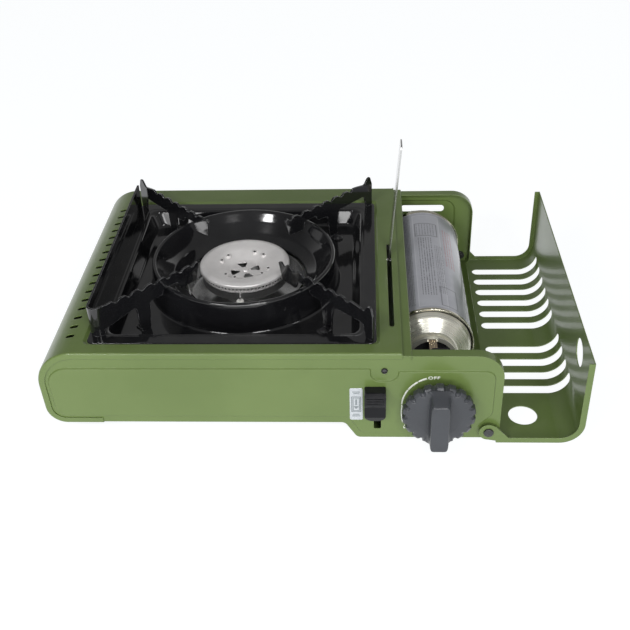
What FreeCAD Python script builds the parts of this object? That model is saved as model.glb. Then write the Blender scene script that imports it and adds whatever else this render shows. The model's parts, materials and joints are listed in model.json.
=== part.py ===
import FreeCAD, Part
import math
import os

vec = FreeCAD.Vector
os.makedirs("parts", exist_ok=True)

# Driving dimensions in millimetres. X runs to the canister side, Y to the back, Z up.
sheet = 0.8                 # thickness of the painted steel sheet
fit_gap = 0.1               # gap between sheets that lie on each other
body_length = 340.5         # left tangent to the right edge of the panels
body_depth = 252.0          # front rim to rear rim
top_height = 81.2           # upper face of the top cover
left_floor = 15.6           # underside of the burner side
right_floor = 2.0           # underside of the canister side
left_roll = 29.0            # radius of the rolled upper left edge
left_lean = 2.4             # how far the left side leans in at its foot
bottom_roll = 15.0          # radius of the lower left edge
return_end = 44.0           # where the bottom return of the top cover ends
rim_width = 5.0             # front and rear rims of the top cover
rim_round = 1.6             # rounding of the folded edges
step_start = 226.0          # where the floor starts to step down
step_end = 235.0            # where it has reached the canister side
press_depth = 1.2           # how far the panels' field is pressed out
panel_flange = 8.0          # turned-in flange of the panels
panel_top_right = 78.2      # upper edge of the panels beside the lid

tray_x = 143.5              # centre of burner and tray
tray_margin = 13.2          # front rim to the opening for the drip pan
tray_rest = 25.8            # rear rim to the same opening
tray_corner = 5.0
tray_ledge = 4.0            # ledge that carries the pan
tray_sink = 1.8             # how deep the ledge lies

vent_count = 17
vent_x = 24.0
vent_start = 22.6
vent_end = 38.2             # last vent to the rear rim
vent_long = 6.6
vent_wide = 4.0

ledge_start = 267.3         # edge of the raised top beside the lid
ledge_width = 7.0
ledge_sink = 2.0
ledge_skirt = 3.5

hinge_x = 332.0             # lid hinge line
hinge_height = 10.5
lid_reach = 70.0            # hinge line to the outside of the lid wall
lid_under = 0.6             # underside of the open lid
lid_wall_height = 74.2      # upper edge of the open lid
lid_roll = 17.5
lid_side_gap = 3.2          # how far the lid stands out past the panel rims
lid_flange = 4.5
lid_start = 338.0
lid_ear = 7.0
slot_end = 19.3             # last slot to the rear rim
slot_first = 58.2
slot_width = 9.4
slot_left = 342.4
slot_turn = 70.0            # how far round the lid's rolled corner the slots run
slot_places = (0, 1, 2, 3, 5, 6, 7, 8, 9, 10)
lid_hole = 22.0
floor_hole_x = 362.0
floor_hole_y = 27.0
wall_hole_y = 40.0
wall_hole_z = 52.0
hinge_pin = 4.0
hinge_head = 1.9            # how far the hinge screws stand out past the lid
hinge_clear = 0.1

blade_x = 260.3             # folding guard blade
blade_thick = 1.2
blade_wide = 16.0
blade_length = 106.0
blade_pivot_y = 140.0
blade_pivot_depth = 8.7     # below the upper face of the top cover
blade_lean = 4.8            # degrees the guard leans to the canister
blade_pin_radius = 1.5
blade_slot_start = 33.0
blade_slot_end = 151.0
blade_slot_width = 3.6
blade_slot_shift = 0.4      # the guard leans, so its slot lies a little to the canister's side

can_x = 292.0               # gas canister
can_z = 40.0
can_radius = 33.0
front_seam = 65.5           # front rim of the canister
can_rear_gap = 29.5         # its rear rim to the rear rim of the body
can_seam = 1.0              # how far the rims stand out
dome_depth = 13.0
cup_radius = 16.5
cup_depth = 5.0
collar_radius = 20.5
notch_width = 8.0
lock_travel = 5.0           # forward travel of the carrier

knob_x = 294.0
knob_z = 34.4
knob_radius = 26.5
knob_gap = 1.0
knob_skirt = 7.5
knob_hub = 5.0              # how far the hub holds the skirt off the panel
hub_radius = 15.0
spindle_radius = 4.0
knob_reach = 26.5           # front of the grip before the rim plane
grip_wide = 14.0
grip_long = 45.0
scallops = 18
knob_range = 110.0          # turn from off to the spark, in degrees
cam_radius = 7.4
plunger_travel = 4.0        # stroke of the igniter
plunger_y = 5.1

lever_x = 248.2
lever_wide = 15.6
lever_low = 21.3
lever_high = 51.8
lever_travel = 8.5
lever_reach = 9.5
slot_aside = 1.8            # the lever slot lies this far right of the button
screw_x = 254.8
screw_z = 65.4

cap_radius = 36.4           # burner
cap_top = 84.9
dish_depth = 9.0            # how deep the cap is dished
neck = 17.0
bell = 35.0
bell_top = 77.0
port_count = 72
eye_reach = 20.5            # ringed holes in the cap
eye_swing = 12.5
heat_y = 134.0              # middle of the heat return plate
insulator_gap = 41.5        # igniter electrode before the burner's axis
insulator_low = 52.0
wire_radius = 1.1
burner_low = 30.0
tube_radius = 9.0
tube_z = 36.0
tube_y = 24.0
reflector_radius = 47.6

pan_border = 12.6           # drip pan
pan_slope = 5.0
pan_floor = 66.0
pan_hole = 49.6
pan_fit = 0.5
rim_inset = 33.5            # tray opening to the collar's rim
rim_drop = 11.4             # collar's top below the pot
rivet_side = 5.5

arm_sheet = 1.6             # pan supports
arm_inner = 44.5
tooth_count = 8
tooth_depth = 3.1
pot_height = 104.4
horn_rise = 4.0
wall_inset = 2.6            # tray opening to the side wall of the supports
wall_stop = 9.7             # and to its rear end
wall_fold = 5.0

foot_inset = 56.0
foot_right = 318.0
foot_depth = 40.0
foot_radius = 8.0
rivet_radius = 1.8

reg_left = 274.0            # regulator
reg_right = 314.0
reg_front = 9.5
reg_back = 30.7
reg_low = 22.0
reg_high = 50.7
boss_places = ((279.0, 25.5), (309.0, 25.5))

tray_width = body_depth - tray_margin - tray_rest
tray_y = tray_margin + tray_width / 2
vent_pitch = (body_depth - vent_start - vent_end) / (vent_count - 1)
slot_pitch = (body_depth - slot_first - slot_end) / slot_places[-1]
blade_pivot_z = top_height - blade_pivot_depth
can_rear = body_depth - can_rear_gap
collar_rim = tray_width / 2 - rim_inset
collar_top = pot_height - rim_drop
rivet_reach = collar_rim + 25.5
arm_outer = tray_width / 2 * math.sqrt(2) - 4.6
tooth_pitch = (arm_outer - 64.8) / (tooth_count - 1)
tooth_low = pot_height - tooth_depth
horn_height = pot_height + horn_rise
wall_x = tray_x - tray_width / 2 + wall_inset
wall_rear = tray_y + tray_width / 2 - wall_stop
lid_outside = hinge_x + lid_reach
left_slope = left_lean / (top_height - left_floor)
left_edge = left_slope * left_roll + left_roll * (math.hypot(1, left_slope) - 1)
middle_x = (left_edge + lid_outside) / 2
rear_reach = body_depth + lid_side_gap + hinge_head
middle_y = (rear_reach - knob_reach) / 2
ledge_top = top_height - ledge_sink
tray_ledge_top = top_height - tray_sink
panel_front = sheet + fit_gap
panel_back = panel_front + sheet
field_front = panel_front - press_depth
rear_panel_y = body_depth - panel_front
base_bottom = left_floor + 2 * sheet + 2 * fit_gap
base_top = base_bottom + sheet
partition_x = tray_x + tray_width / 2 + 2.6
pan_half = tray_width / 2 - pan_fit
pan_inner = pan_half - pan_border
border_low = tray_ledge_top + 0.05
border_top = border_low + sheet
pan_floor_top = pan_floor + sheet
wall_turn = math.radians(135)
wall_corner = (tray_x - wall_x) * math.sqrt(2)
fold_start = wall_corner - wall_fold * math.tan(wall_turn / 2) - 1.0
insulator_x = tray_x
insulator_y = tray_y - insulator_gap
nozzle_end = front_seam - dome_depth - 8.0 - lock_travel - 0.5
cradle_reach = can_radius + can_seam + 0.3
carrier_low = right_floor + 2 * sheet + fit_gap + 0.4


def save(name, shape):
    placed = shape.copy()
    placed.translate(vec(-middle_x, -middle_y, 0))
    if not placed.isValid():
        print("not valid:", name)
    placed.exportStep("parts/" + name + ".step")
    box = placed.BoundBox
    size = [round(v, 1) for v in (box.XMin, box.YMin, box.ZMin, box.XMax, box.YMax, box.ZMax)]
    print(name, len(placed.Solids), round(placed.Volume), size)


def block(x0, y0, z0, x1, y1, z1):
    return Part.makeBox(x1 - x0, y1 - y0, z1 - z0, vec(x0, y0, z0))


def rod(radius, start, end):
    along = vec(*end) - vec(*start)
    return Part.makeCylinder(radius, along.Length, vec(*start), along)


def tube(outer, inner, start, end):
    return rod(outer, start, end).cut(rod(inner, start, end))


def corner_points(before, corner, after, radius):
    # Tangent points and middle of the arc that rounds one corner of an outline.
    into = (before - corner).normalize()
    away = (after - corner).normalize()
    half = into.getAngle(away) / 2
    run = radius / math.tan(half)
    middle = corner + (into + away).normalize() * (radius / math.sin(half) - radius)
    return corner + into * run, middle, corner + away * run


def outline_edges(corners, place, closed):
    # Lines and arcs through corners given as (u, v, radius).
    points = [place(u, v) for u, v, r in corners]
    count = len(points)
    edges = []
    pen = None
    first = None
    for i, (u, v, radius) in enumerate(corners):
        inner = closed or 0 < i < count - 1
        if radius > 0 and inner:
            start, middle, end = corner_points(points[i - 1], points[i], points[(i + 1) % count], radius)
        else:
            start, middle, end = points[i], None, points[i]
        if pen is not None and (start - pen).Length > 1e-6:
            edges.append(Part.LineSegment(pen, start).toShape())
        if middle is not None:
            edges.append(Part.Arc(start, middle, end).toShape())
        first = first or start
        pen = end
    if closed and (first - pen).Length > 1e-6:
        edges.append(Part.LineSegment(pen, first).toShape())
    return edges


def side_plane(y):
    return lambda u, v: vec(u, y, v)


def cross_plane(x):
    return lambda u, v: vec(x, u, v)


def flat_plane(z):
    return lambda u, v: vec(u, v, z)


def closed_face(corners, place):
    return Part.Face(Part.Wire(outline_edges(corners, place, True)))


def offset_path(corners, gap, closed=False):
    # The same outline moved to its left by gap, with the radii changed to match.
    count = len(corners)
    moved = []
    for i, (u, v, radius) in enumerate(corners):
        ahead = corners[(i + 1) % count] if closed or i < count - 1 else None
        behind = corners[i - 1] if closed or i > 0 else None
        normals = []
        for a, b in ((behind, (u, v)), ((u, v), ahead)):
            if a is None or b is None:
                continue
            du, dv = b[0] - a[0], b[1] - a[1]
            length = math.hypot(du, dv)
            normals.append((-dv / length, du / length))
        n1, n2 = normals[0], normals[-1]
        share = gap / (1 + n1[0] * n2[0] + n1[1] * n2[1])
        turn = n1[0] * n2[1] - n1[1] * n2[0]
        new_radius = radius
        if radius > 0:
            new_radius = max(radius - gap, 0.05) if turn > 0 else radius + gap
        moved.append((u + share * (n1[0] + n2[0]), v + share * (n1[1] + n2[1]), new_radius))
    return moved


def strip_face(corners, thickness, place):
    # A bent sheet seen on its edge: the outline and its offset joined at the ends.
    inner = offset_path(corners, thickness)
    near = outline_edges(corners, place, False)
    far = outline_edges(inner, place, False)
    ends = []
    for k in (0, -1):
        ends.append(Part.LineSegment(place(*corners[k][:2]), place(*inner[k][:2])).toShape())
    return Part.Face(Part.Wire(Part.__sortEdges__(near + far + ends)))


def bent_sheet(corners, thickness, y0, y1):
    return strip_face(corners, thickness, side_plane(y0)).extrude(vec(0, y1 - y0, 0))


def prism(corners, y0, y1):
    return closed_face(corners, side_plane(y0)).extrude(vec(0, y1 - y0, 0))


def column(corners, z0, z1):
    return closed_face(corners, flat_plane(z0)).extrude(vec(0, 0, z1 - z0))


def square(half_x, half_y, x, y, radius):
    return [(x - half_x, y - half_y, radius), (x + half_x, y - half_y, radius),
            (x + half_x, y + half_y, radius), (x - half_x, y + half_y, radius)]


def frustum(low, low_place, high, high_place):
    wires = []
    for corners, place in ((low, low_place), (high, high_place)):
        wires.append(Part.Wire(outline_edges(corners, place, True)))
    return Part.makeLoft(wires, True, True)


def turned(corners, x, y):
    # A profile of (radius, height, rounding) turned about an upright axis.
    face = closed_face(corners, lambda u, v: vec(x + u, y, v))
    return face.revolve(vec(x, y, 0), vec(0, 0, 1), 360)


def turned_along(corners, x, z):
    # A profile of (radius, Y, rounding) turned about an axis along Y.
    face = closed_face(corners, lambda u, v: vec(x + u, v, z))
    return face.revolve(vec(x, 0, z), vec(0, 1, 0), 360)


def fuse(shapes):
    whole = shapes[0]
    if len(shapes) > 1:
        whole = shapes[0].multiFuse(shapes[1:])
    return whole.removeSplitter()


def group(shapes):
    return Part.makeCompound(shapes)


# Outlines seen from the front, as (X, Z, corner radius), counter-clockwise.
wrap_outline = [
    (ledge_start, top_height, 0),
    (0, top_height, left_roll),
    (left_lean, left_floor, bottom_roll),
    (return_end, left_floor, 0),
]
wrap_inside = offset_path(wrap_outline, sheet + fit_gap)
panel_step = ledge_start - sheet - fit_gap
panel_outline = [
    (panel_step, wrap_inside[1][1], 0),
    wrap_inside[1],
    wrap_inside[2],
    (step_start, wrap_inside[2][1], 5),
    (step_end, right_floor, 5),
    (body_length, right_floor, hinge_height - right_floor),
    (body_length, panel_top_right, 20),
    (panel_step, panel_top_right, 0),
]


def vent_slot(x, y, long, wide, z0, z1):
    return column(square(long / 2, wide / 2, x, y, min(long, wide) * 0.45), z0, z1)


def wrap_shell():
    # The rolled wrap with its end rims: a rounded block, hollowed from the open side.
    block_low = left_floor + 20
    closing = [(return_end, block_low, 0), (ledge_start, block_low, 0)]
    whole = prism(wrap_outline + closing, 0, body_depth)
    folds = []
    for edge in whole.Edges:
        box = edge.BoundBox
        at_end = box.YLength < 1e-6
        on_closing = box.XMin > return_end - 1e-6 and box.ZMin < top_height - 1e-6
        if at_end and not on_closing:
            folds.append(edge)
    whole = whole.makeFillet(rim_round, folds)
    for gap, y0, y1 in ((sheet, sheet, body_depth - sheet), (rim_width, -1, body_depth + 1)):
        inner = offset_path(wrap_outline, gap)
        past = [(return_end + 1, inner[-1][1], 0), (return_end + 1, block_low - 1, 0)]
        past += [(ledge_start + 1, block_low - 1, 0), (ledge_start + 1, inner[0][1], 0)]
        whole = whole.cut(prism(inner[1:3] + past, y0, y1))
    return whole


def top_cover():
    ledge_edge = ledge_start + ledge_width
    ledge_path = [
        (ledge_edge, ledge_top - ledge_skirt, 0),
        (ledge_edge, ledge_top, 1.0),
        (ledge_start - sheet, ledge_top, 0),
    ]
    step = block(ledge_start - sheet, 0, ledge_top - sheet, ledge_start, body_depth, top_height)
    cover = wrap_shell().fuse([bent_sheet(ledge_path, sheet, 0, body_depth), step])
    half = tray_width / 2
    lower = square(half + sheet, half + sheet, tray_x, tray_y, tray_corner)
    upper = square(half + sheet + tray_sink, half + sheet + tray_sink, tray_x, tray_y, tray_corner)
    cup = frustum(lower, flat_plane(tray_ledge_top - sheet), upper, flat_plane(top_height))
    floor_square = square(half, half, tray_x, tray_y, tray_corner)
    wide_square = square(half + 2 * tray_sink, half + 2 * tray_sink, tray_x, tray_y, tray_corner)
    recess = frustum(floor_square, flat_plane(tray_ledge_top), wide_square, flat_plane(top_height + tray_sink))
    hole = column(square(half - tray_ledge, half - tray_ledge, tray_x, tray_y, tray_corner), top_height - 20, top_height + 9)
    cover = cover.fuse(cup).cut(recess).cut(hole)
    cuts = []
    for k in range(vent_count):
        cuts.append(vent_slot(vent_x, vent_start + k * vent_pitch, vent_long, vent_wide, top_height - 11, top_height + 9))
    slot_middle = (blade_slot_start + blade_slot_end) / 2
    slot_long = blade_slot_end - blade_slot_start
    half_wide = blade_slot_width / 2
    cuts.append(column(square(half_wide, slot_long / 2, blade_x + blade_slot_shift, slot_middle, half_wide * 0.9),
                       top_height - 11, top_height + 9))
    return cover.cut(group(cuts)).removeSplitter()


def pressed_field(corners, back, front, draft):
    # A shallow pressing: the raised block and the pocket behind it.
    small = offset_path(corners, draft, True)
    raised = frustum(corners, side_plane(back), small, side_plane(front))
    step = sheet if front > back else -sheet
    pocket_big = offset_path(corners, sheet, True)
    pocket_small = offset_path(corners, sheet + draft, True)
    pocket = frustum(pocket_big, side_plane(back), pocket_small, side_plane(front - step))
    return raised, pocket


def panel_blank(face_y, inward):
    # Flat panel with a flange turned into the body; inward is +1 or -1 along Y.
    back_y = face_y + inward * sheet
    end_y = face_y + inward * panel_flange
    plate = prism(panel_outline, min(face_y, back_y), max(face_y, back_y))
    outer = prism(panel_outline, min(face_y, end_y), max(face_y, end_y))
    inside = prism(offset_path(panel_outline, sheet, True), min(back_y, end_y), max(back_y, end_y))
    return plate.fuse(outer.cut(inside)).removeSplitter()


def front_panel():
    lobe = 9.0
    lobe_low = screw_z - 8.2
    field_right = body_length - 5.3
    field = [
        (screw_x - lobe, 68.4, 2.5),
        (7.0, 68.4, 16),
        (9.4, left_floor + rim_width + 1.2, 11),
        (step_start + 2, left_floor + rim_width + 1.2, 5),
        (step_end + 2.5, right_floor + 4.5, 4),
        (field_right - 17.2, right_floor + 4.5, 9),
        (field_right, right_floor + 23, 9),
        (field_right, 66.0, 8),
        (screw_x + lobe, 66.0, 2.5),
        (screw_x + lobe, lobe_low, 6.2),
        (screw_x - lobe, lobe_low, 6.2),
    ]
    raised, pocket = pressed_field(field, panel_back, field_front, 1.4)
    panel = panel_blank(panel_front, 1).fuse(raised).cut(pocket)
    cuts = [
        rod(spindle_radius + 0.8, (knob_x, -3, knob_z), (knob_x, 5, knob_z)),
        rod(hinge_pin / 2 + 0.05, (hinge_x, -3, hinge_height), (hinge_x, 5, hinge_height)),
        rod(1.6, (screw_x, -3, screw_z), (screw_x, 5, screw_z)),
    ]
    cuts += [rod(1.6, (x, -3, z), (x, 5, z)) for x, z in boss_places]
    slot_low = lever_low - lever_travel - 1.4
    slot_high = lever_low + 22
    middle = (slot_low + slot_high) / 2
    half = (slot_high - slot_low) / 2
    cuts.append(prism(square(2.7, half, lever_x + slot_aside, middle, 1.2), -3, 5))
    return panel.cut(group(cuts)).removeSplitter()


def rear_panel():
    field = [
        (248.0, 68.4, 6),
        (9.0, 68.4, 16),
        (11.0, left_floor + rim_width + 1.6, 11),
        (step_start + 3, left_floor + rim_width + 1.6, 5),
        (step_end + 3.5, right_floor + 5, 4),
        (326.0, right_floor + 5, 14),
        (326.0, 70.0, 12),
        (260.0, 70.0, 6),
    ]
    field_y = rear_panel_y + press_depth
    raised, pocket = pressed_field(field, rear_panel_y - sheet, field_y, 1.4)
    panel = panel_blank(rear_panel_y, -1).fuse(raised).cut(pocket)
    cuts = [rod(hinge_pin / 2 + 0.05, (hinge_x, field_y - 6, hinge_height), (hinge_x, field_y + 2, hinge_height))]
    cuts.append(prism(square(20, 3.4, 294.5, 59.8, 3), field_y - 4, field_y + 2))
    for k in range(12):
        x = 60 + k * 14
        cuts.append(prism(square(2.5, 14, x, 44, 2.3), field_y - 4, field_y + 2))
    return panel.cut(group(cuts)).removeSplitter()


def base_plate():
    inset = panel_flange + panel_front + 0.4
    path = [(26, base_bottom + 7, 0), (26, base_bottom, 2), (step_start - 3, base_bottom, 0)]
    plate = bent_sheet(path, sheet, inset, body_depth - inset)
    cuts = []
    for k in range(9):
        for y in (80, 160):
            cuts.append(vent_slot(60 + 16 * k, y, 5, 26, base_bottom - 3, base_bottom + 3))
    return plate.cut(group(cuts)).removeSplitter()


def compartment_floor():
    inset = panel_flange + panel_front + 0.4
    low = right_floor + sheet + fit_gap
    path = [
        (step_start - 22, base_top + fit_gap, 0),
        (step_start + 1.3, base_top + fit_gap, 4),
        (step_end + 1.6, low, 4),
        (hinge_x + 1, low, 5),
        (hinge_x + 5.5, low + 3.3, 0),
    ]
    return bent_sheet(path, sheet, inset, body_depth - inset)


def partition_plate():
    inset = panel_flange + panel_front + 0.4
    low = right_floor + 2 * (sheet + fit_gap)
    path = [(partition_x, top_height - sheet - fit_gap, 0), (partition_x, low, 1.5), (partition_x + 10, low, 0)]
    plate = bent_sheet(path, sheet, inset, body_depth - inset)
    cuts = [rod(tube_radius + 0.5, (partition_x - 3, tube_y, tube_z), (partition_x + 3, tube_y, tube_z))]
    cuts.append(rod(3.2, (partition_x - 3, 21.8, 59.8), (partition_x + 3, 21.8, 59.8)))
    cuts.append(block(partition_x - 3, heat_y - 12.5, 26.5, partition_x + 3, heat_y + 12.5, 31))
    for k in range(5):
        y = 70 + 32 * k
        if abs(y - heat_y) > 20:
            cuts.append(rod(5, (partition_x - 3, y, 40), (partition_x + 3, y, 40)))
    return plate.cut(group(cuts)).removeSplitter()


def heat_return_plate():
    path = [(burner_foot_x(), 28.0, 0), (256.0, 28.0, 2), (266.5, 14.6, 0)]
    return bent_sheet(path, 1.0, heat_y - 11, heat_y + 11)


def burner_foot_x():
    return tray_x + 16


def feet():
    made = {}
    places = {
        "foot_front_left": (foot_inset, foot_depth, base_bottom),
        "foot_rear_left": (foot_inset, body_depth - foot_depth, base_bottom),
        "foot_front_right": (foot_right, foot_depth, right_floor + sheet + fit_gap),
        "foot_rear_right": (foot_right, body_depth - foot_depth, right_floor + sheet + fit_gap),
    }
    for name, (x, y, height) in places.items():
        profile = [(0, 0, 0), (foot_radius - 1.5, 0, 1.0), (foot_radius, height, 0), (0, height, 0)]
        made[name] = turned(profile, x, y)
    return made


def natural_bend(before, corner, after):
    # The largest even arc that two runs leave room for.
    into = before - corner
    away = after - corner
    half_turn = (math.pi - into.getAngle(away)) / 2
    return 0.45 * min(into.Length, away.Length) / math.tan(half_turn)


def path_sweep(points, radius, bend=None):
    # A round rod along straight runs joined by tangent arcs.
    places = [vec(*p) for p in points]
    edges = []
    pen = places[0]
    for i in range(1, len(places) - 1):
        around = (places[i - 1], places[i], places[i + 1])
        arc_radius = bend or natural_bend(*around)
        start, middle, end = corner_points(*around, arc_radius)
        edges.append(Part.LineSegment(pen, start).toShape())
        edges.append(Part.Arc(start, middle, end).toShape())
        pen = end
    edges.append(Part.LineSegment(pen, places[-1]).toShape())
    ring = Part.Wire(Part.makeCircle(radius, places[0], places[1] - places[0]))
    return Part.Wire(edges).makePipeShell([ring], True, False)


def rivet_place(quarter):
    turn = math.radians(45 + 90 * quarter)
    along = rivet_reach
    aside = -rivet_side
    x = tray_x + along * math.cos(turn) - aside * math.sin(turn)
    y = tray_y + along * math.sin(turn) + aside * math.cos(turn)
    return x, y


def drip_pan():
    border = column(square(pan_half, pan_half, tray_x, tray_y, tray_corner), border_low, border_top)
    rims = [e for e in border.Edges if e.BoundBox.ZMin > border_top - 1e-6]
    border = border.makeFillet(0.5, rims)
    low_half = pan_inner - pan_slope
    outer = frustum(square(low_half + sheet, low_half + sheet, tray_x, tray_y, 9), flat_plane(pan_floor),
                    square(pan_inner + sheet, pan_inner + sheet, tray_x, tray_y, 9), flat_plane(border_top))
    inner = frustum(square(low_half, low_half, tray_x, tray_y, 8.2), flat_plane(pan_floor_top),
                    square(pan_inner, pan_inner, tray_x, tray_y, 8.2), flat_plane(border_top))
    above = column(square(pan_inner, pan_inner, tray_x, tray_y, 8.2), border_top, border_top + 2)
    foot = collar_rim + 3.4
    opening = rod(foot - 0.4, (tray_x, tray_y, pan_floor - 2), (tray_x, tray_y, border_top + 2))
    width = collar_rim - pan_hole
    path = [
        (foot, pan_floor, 0),
        (collar_rim + 0.2, collar_top + 2.4, 1.9),
        (collar_rim - 0.32 * width, collar_top - 8.5, 7),
        (collar_rim - 0.62 * width, pan_floor + 9.5, 6),
        (pan_hole, pan_floor + 4.5, 1.5),
        (pan_hole, pan_floor + 1.5, 0),
    ]
    collar_face = strip_face(path, sheet, lambda u, v: vec(tray_x + u, tray_y, v))
    collar = collar_face.revolve(vec(tray_x, tray_y, 0), vec(0, 0, 1), 360)
    pan = border.fuse(outer).cut(inner).cut(above).cut(opening).fuse(collar)
    holes = []
    for quarter in range(4):
        x, y = rivet_place(quarter)
        holes.append(rod(rivet_radius + 0.05, (x, y, pan_floor - 2), (x, y, pan_floor + 3)))
    return pan.cut(group(holes)).removeSplitter()


def arm_outline(horn):
    # Side view of one support, as (distance from the burner, Z, radius).
    under = [
        (48.2, collar_top - 4, 2), (collar_rim - 9.5, collar_top - 5.2, 1.5),
        (collar_rim - 7, collar_top + 2, 1.5), (collar_rim + 5.5, collar_top + 2, 1.5),
        (collar_rim + 7.5, collar_top - 2.5, 1.5), (rivet_reach - 6.5, collar_top - 3.5, 2),
        (rivet_reach - 4, pan_floor_top + 0.05, 0.8), (rivet_reach + 4, pan_floor_top + 0.05, 0.8),
        (rivet_reach + 6, collar_top - 2.5, 2),
    ]
    if horn:
        under += [
            (arm_outer - 9.5, collar_top - 1, 3), (arm_outer - 6.5, border_top, 0.8), (arm_outer, border_top, 0.8),
            (arm_outer, pot_height - 3.4, 3), (arm_outer - 2.4, horn_height, 1.2),
            (arm_outer - 5.4, horn_height - 1.0, 1.0), (arm_outer - 9, pot_height - 1.8, 2),
        ]
    else:
        under += [(fold_start, border_top + 4, 0), (fold_start, pot_height, 0)]
    top = []
    for k in reversed(range(tooth_count - 1)):
        first = 50.5 + k * tooth_pitch
        top.append((first + 8.0, pot_height - 0.4, 1.4))
        top.append((first + 3.2, pot_height, 1.0))
        top.append((first, tooth_low, 1.1))
    tip = [(47.6, pot_height, 0.8), (arm_inner, pot_height - 0.8, 1.0), (46.2, pot_height - 7.4, 3)]
    return under + top + tip


def support_arm(quarter, horn=True):
    # Quarter 0 points to the rear right; they follow counter-clockwise.
    place = lambda u, v: vec(tray_x + u, tray_y - arm_sheet / 2, v)
    arm = closed_face(arm_outline(horn), place).extrude(vec(0, arm_sheet, 0))
    low = pan_floor_top + 0.05
    side = tray_y - arm_sheet / 2
    tab = block(tray_x + rivet_reach - 3.7, side - 9, low, tray_x + rivet_reach + 3.7, side + 0.2, low + 1.2)
    tab = tab.makeFillet(2.5, [e for e in tab.Edges if e.BoundBox.ZLength > 1 and e.BoundBox.YMax < side - 5])
    arm = arm.fuse(tab)
    arm.rotate(vec(tray_x, tray_y, 0), vec(0, 0, 1), 45 + 90 * quarter)
    x, y = rivet_place(quarter)
    return arm.cut(rod(rivet_radius + 0.05, (x, y, low - 1), (x, y, low + 3))).removeSplitter()


def front_left_support():
    # The wall along the left side is folded round from the arm in one sheet.
    arm = support_arm(2, False)
    start = fold_start - 1.0
    foot = math.sqrt(0.5)
    middle_line = [
        (tray_x - start * foot, tray_y - start * foot, 0),
        (wall_x, tray_y - (tray_x - wall_x), wall_fold),
        (wall_x, wall_rear, 0),
    ]
    path = offset_path(middle_line, -arm_sheet / 2)
    face = strip_face(path, arm_sheet, flat_plane(border_top))
    wall = face.extrude(vec(0, 0, pot_height - border_top))
    return arm.fuse(wall).removeSplitter()


def pan_rivets():
    made = []
    top = pan_floor_top + 1.25
    for quarter in range(4):
        x, y = rivet_place(quarter)
        low = pan_floor - 0.9
        profile = [(0, low, 0), (2.8, low, 0.5), (2.8, pan_floor - 0.05, 0), (rivet_radius, pan_floor - 0.05, 0),
                   (rivet_radius, top + 0.05, 0), (3.0, top + 0.05, 0), (2.4, top + 1.2, 0.6), (0, top + 1.4, 0)]
        made.append(turned(profile, x, y))
    return group(made)


def burner_base():
    profile = [
        (0, burner_low - 4, 0), (neck - 2, burner_low - 4, 1), (neck, burner_low, 1), (neck, 49, 0),
        (neck + 4.5, 50, 1), (neck + 4.5, 53.8, 0.5), (neck + 1, 54, 0), (neck + 1.5, 57, 3),
        (bell, 70, 2), (bell, bell_top, 0), (bell - 3, bell_top, 0), (bell - 4, 71.5, 2),
        (neck - 2, 59, 3), (neck - 4, 48, 0), (0, 48, 0),
    ]
    base = turned(profile, tray_x, tray_y)
    boss = rod(tube_radius + 2.6, (tray_x, tray_y - 8, tube_z), (tray_x, tray_y - 24, tube_z))
    bore = rod(tube_radius + 0.1, (tray_x, tray_y - 12, tube_z), (tray_x, tray_y - 25, tube_z))
    flat = block(tray_x - 15, tray_y - 30, burner_low - 10, tray_x + 15, tray_y, burner_low - 4)
    return base.fuse(boss.cut(flat)).cut(bore).removeSplitter()


def burner_bracket():
    low = base_top + fit_gap
    high = burner_low - 4 - 1.1
    path = [(tray_x - 46, low, 0), (tray_x - 30, low, 1.5), (tray_x - 24, high, 1.5),
            (tray_x + 24, high, 1.5), (tray_x + 30, low, 1.5), (tray_x + 46, low, 0)]
    return bent_sheet(path, 1.0, tray_y - 13, tray_y + 13)


def burner_port_ring():
    ring = tube(bell - 0.4, bell - 2.6, (tray_x, tray_y, bell_top + 0.05), (tray_x, tray_y, cap_top - 2.3))
    cuts = []
    for k in range(port_count):
        port = block(tray_x + bell - 6, tray_y - 0.85, bell_top + 0.9, tray_x + bell + 2, tray_y + 0.85, bell_top + 3.5)
        port.rotate(vec(tray_x, tray_y, 0), vec(0, 0, 1), 360 * k / port_count)
        cuts.append(port)
    return ring.cut(group(cuts))


def burner_cap():
    low = bell_top + 4.1
    path = [
        (0, cap_top - dish_depth, 0), (12.8, cap_top - dish_depth + 0.3, 7),
        (23.5, cap_top - 2.2, 12), (32.5, cap_top, 5),
        (cap_radius, cap_top - 1.4, 1.8), (cap_radius, low, 0),
    ]
    thick = 1.0
    low_side = list(reversed(offset_path(path, -thick)))
    low_side[-1] = (0, path[0][1] - thick, 0)
    edges_up = path
    face = closed_face(edges_up + low_side, lambda u, v: vec(tray_x + u, tray_y, v))
    cap = face.revolve(vec(tray_x, tray_y, 0), vec(0, 0, 1), 360)
    cuts = [rod(1.3, (tray_x, tray_y, low - 9), (tray_x, tray_y, cap_top + 1))]
    rings = []
    for k in range(4):
        window = [(4.6, -1.3, 0.5), (11.4, -4.8, 1.2), (12.2, 4.8, 1.2), (4.6, 1.3, 0.5)]
        shape = column([(tray_x + u, tray_y + v, r) for u, v, r in window], low - 9, cap_top + 1)
        shape.rotate(vec(tray_x, tray_y, 0), vec(0, 0, 1), 90 * k + 20)
        cuts.append(shape)
        for swing in (eye_swing, -eye_swing):
            turn = math.radians(60 + 90 * k + swing)
            x = tray_x + eye_reach * math.cos(turn)
            y = tray_y + eye_reach * math.sin(turn)
            rings.append(rod(2.2, (x, y, cap_top - 5.2), (x, y, cap_top - 3.0)))
            cuts.append(rod(0.9, (x, y, low - 9), (x, y, cap_top + 1)))
    return cap.fuse(rings).cut(group(cuts)).removeSplitter()


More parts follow.
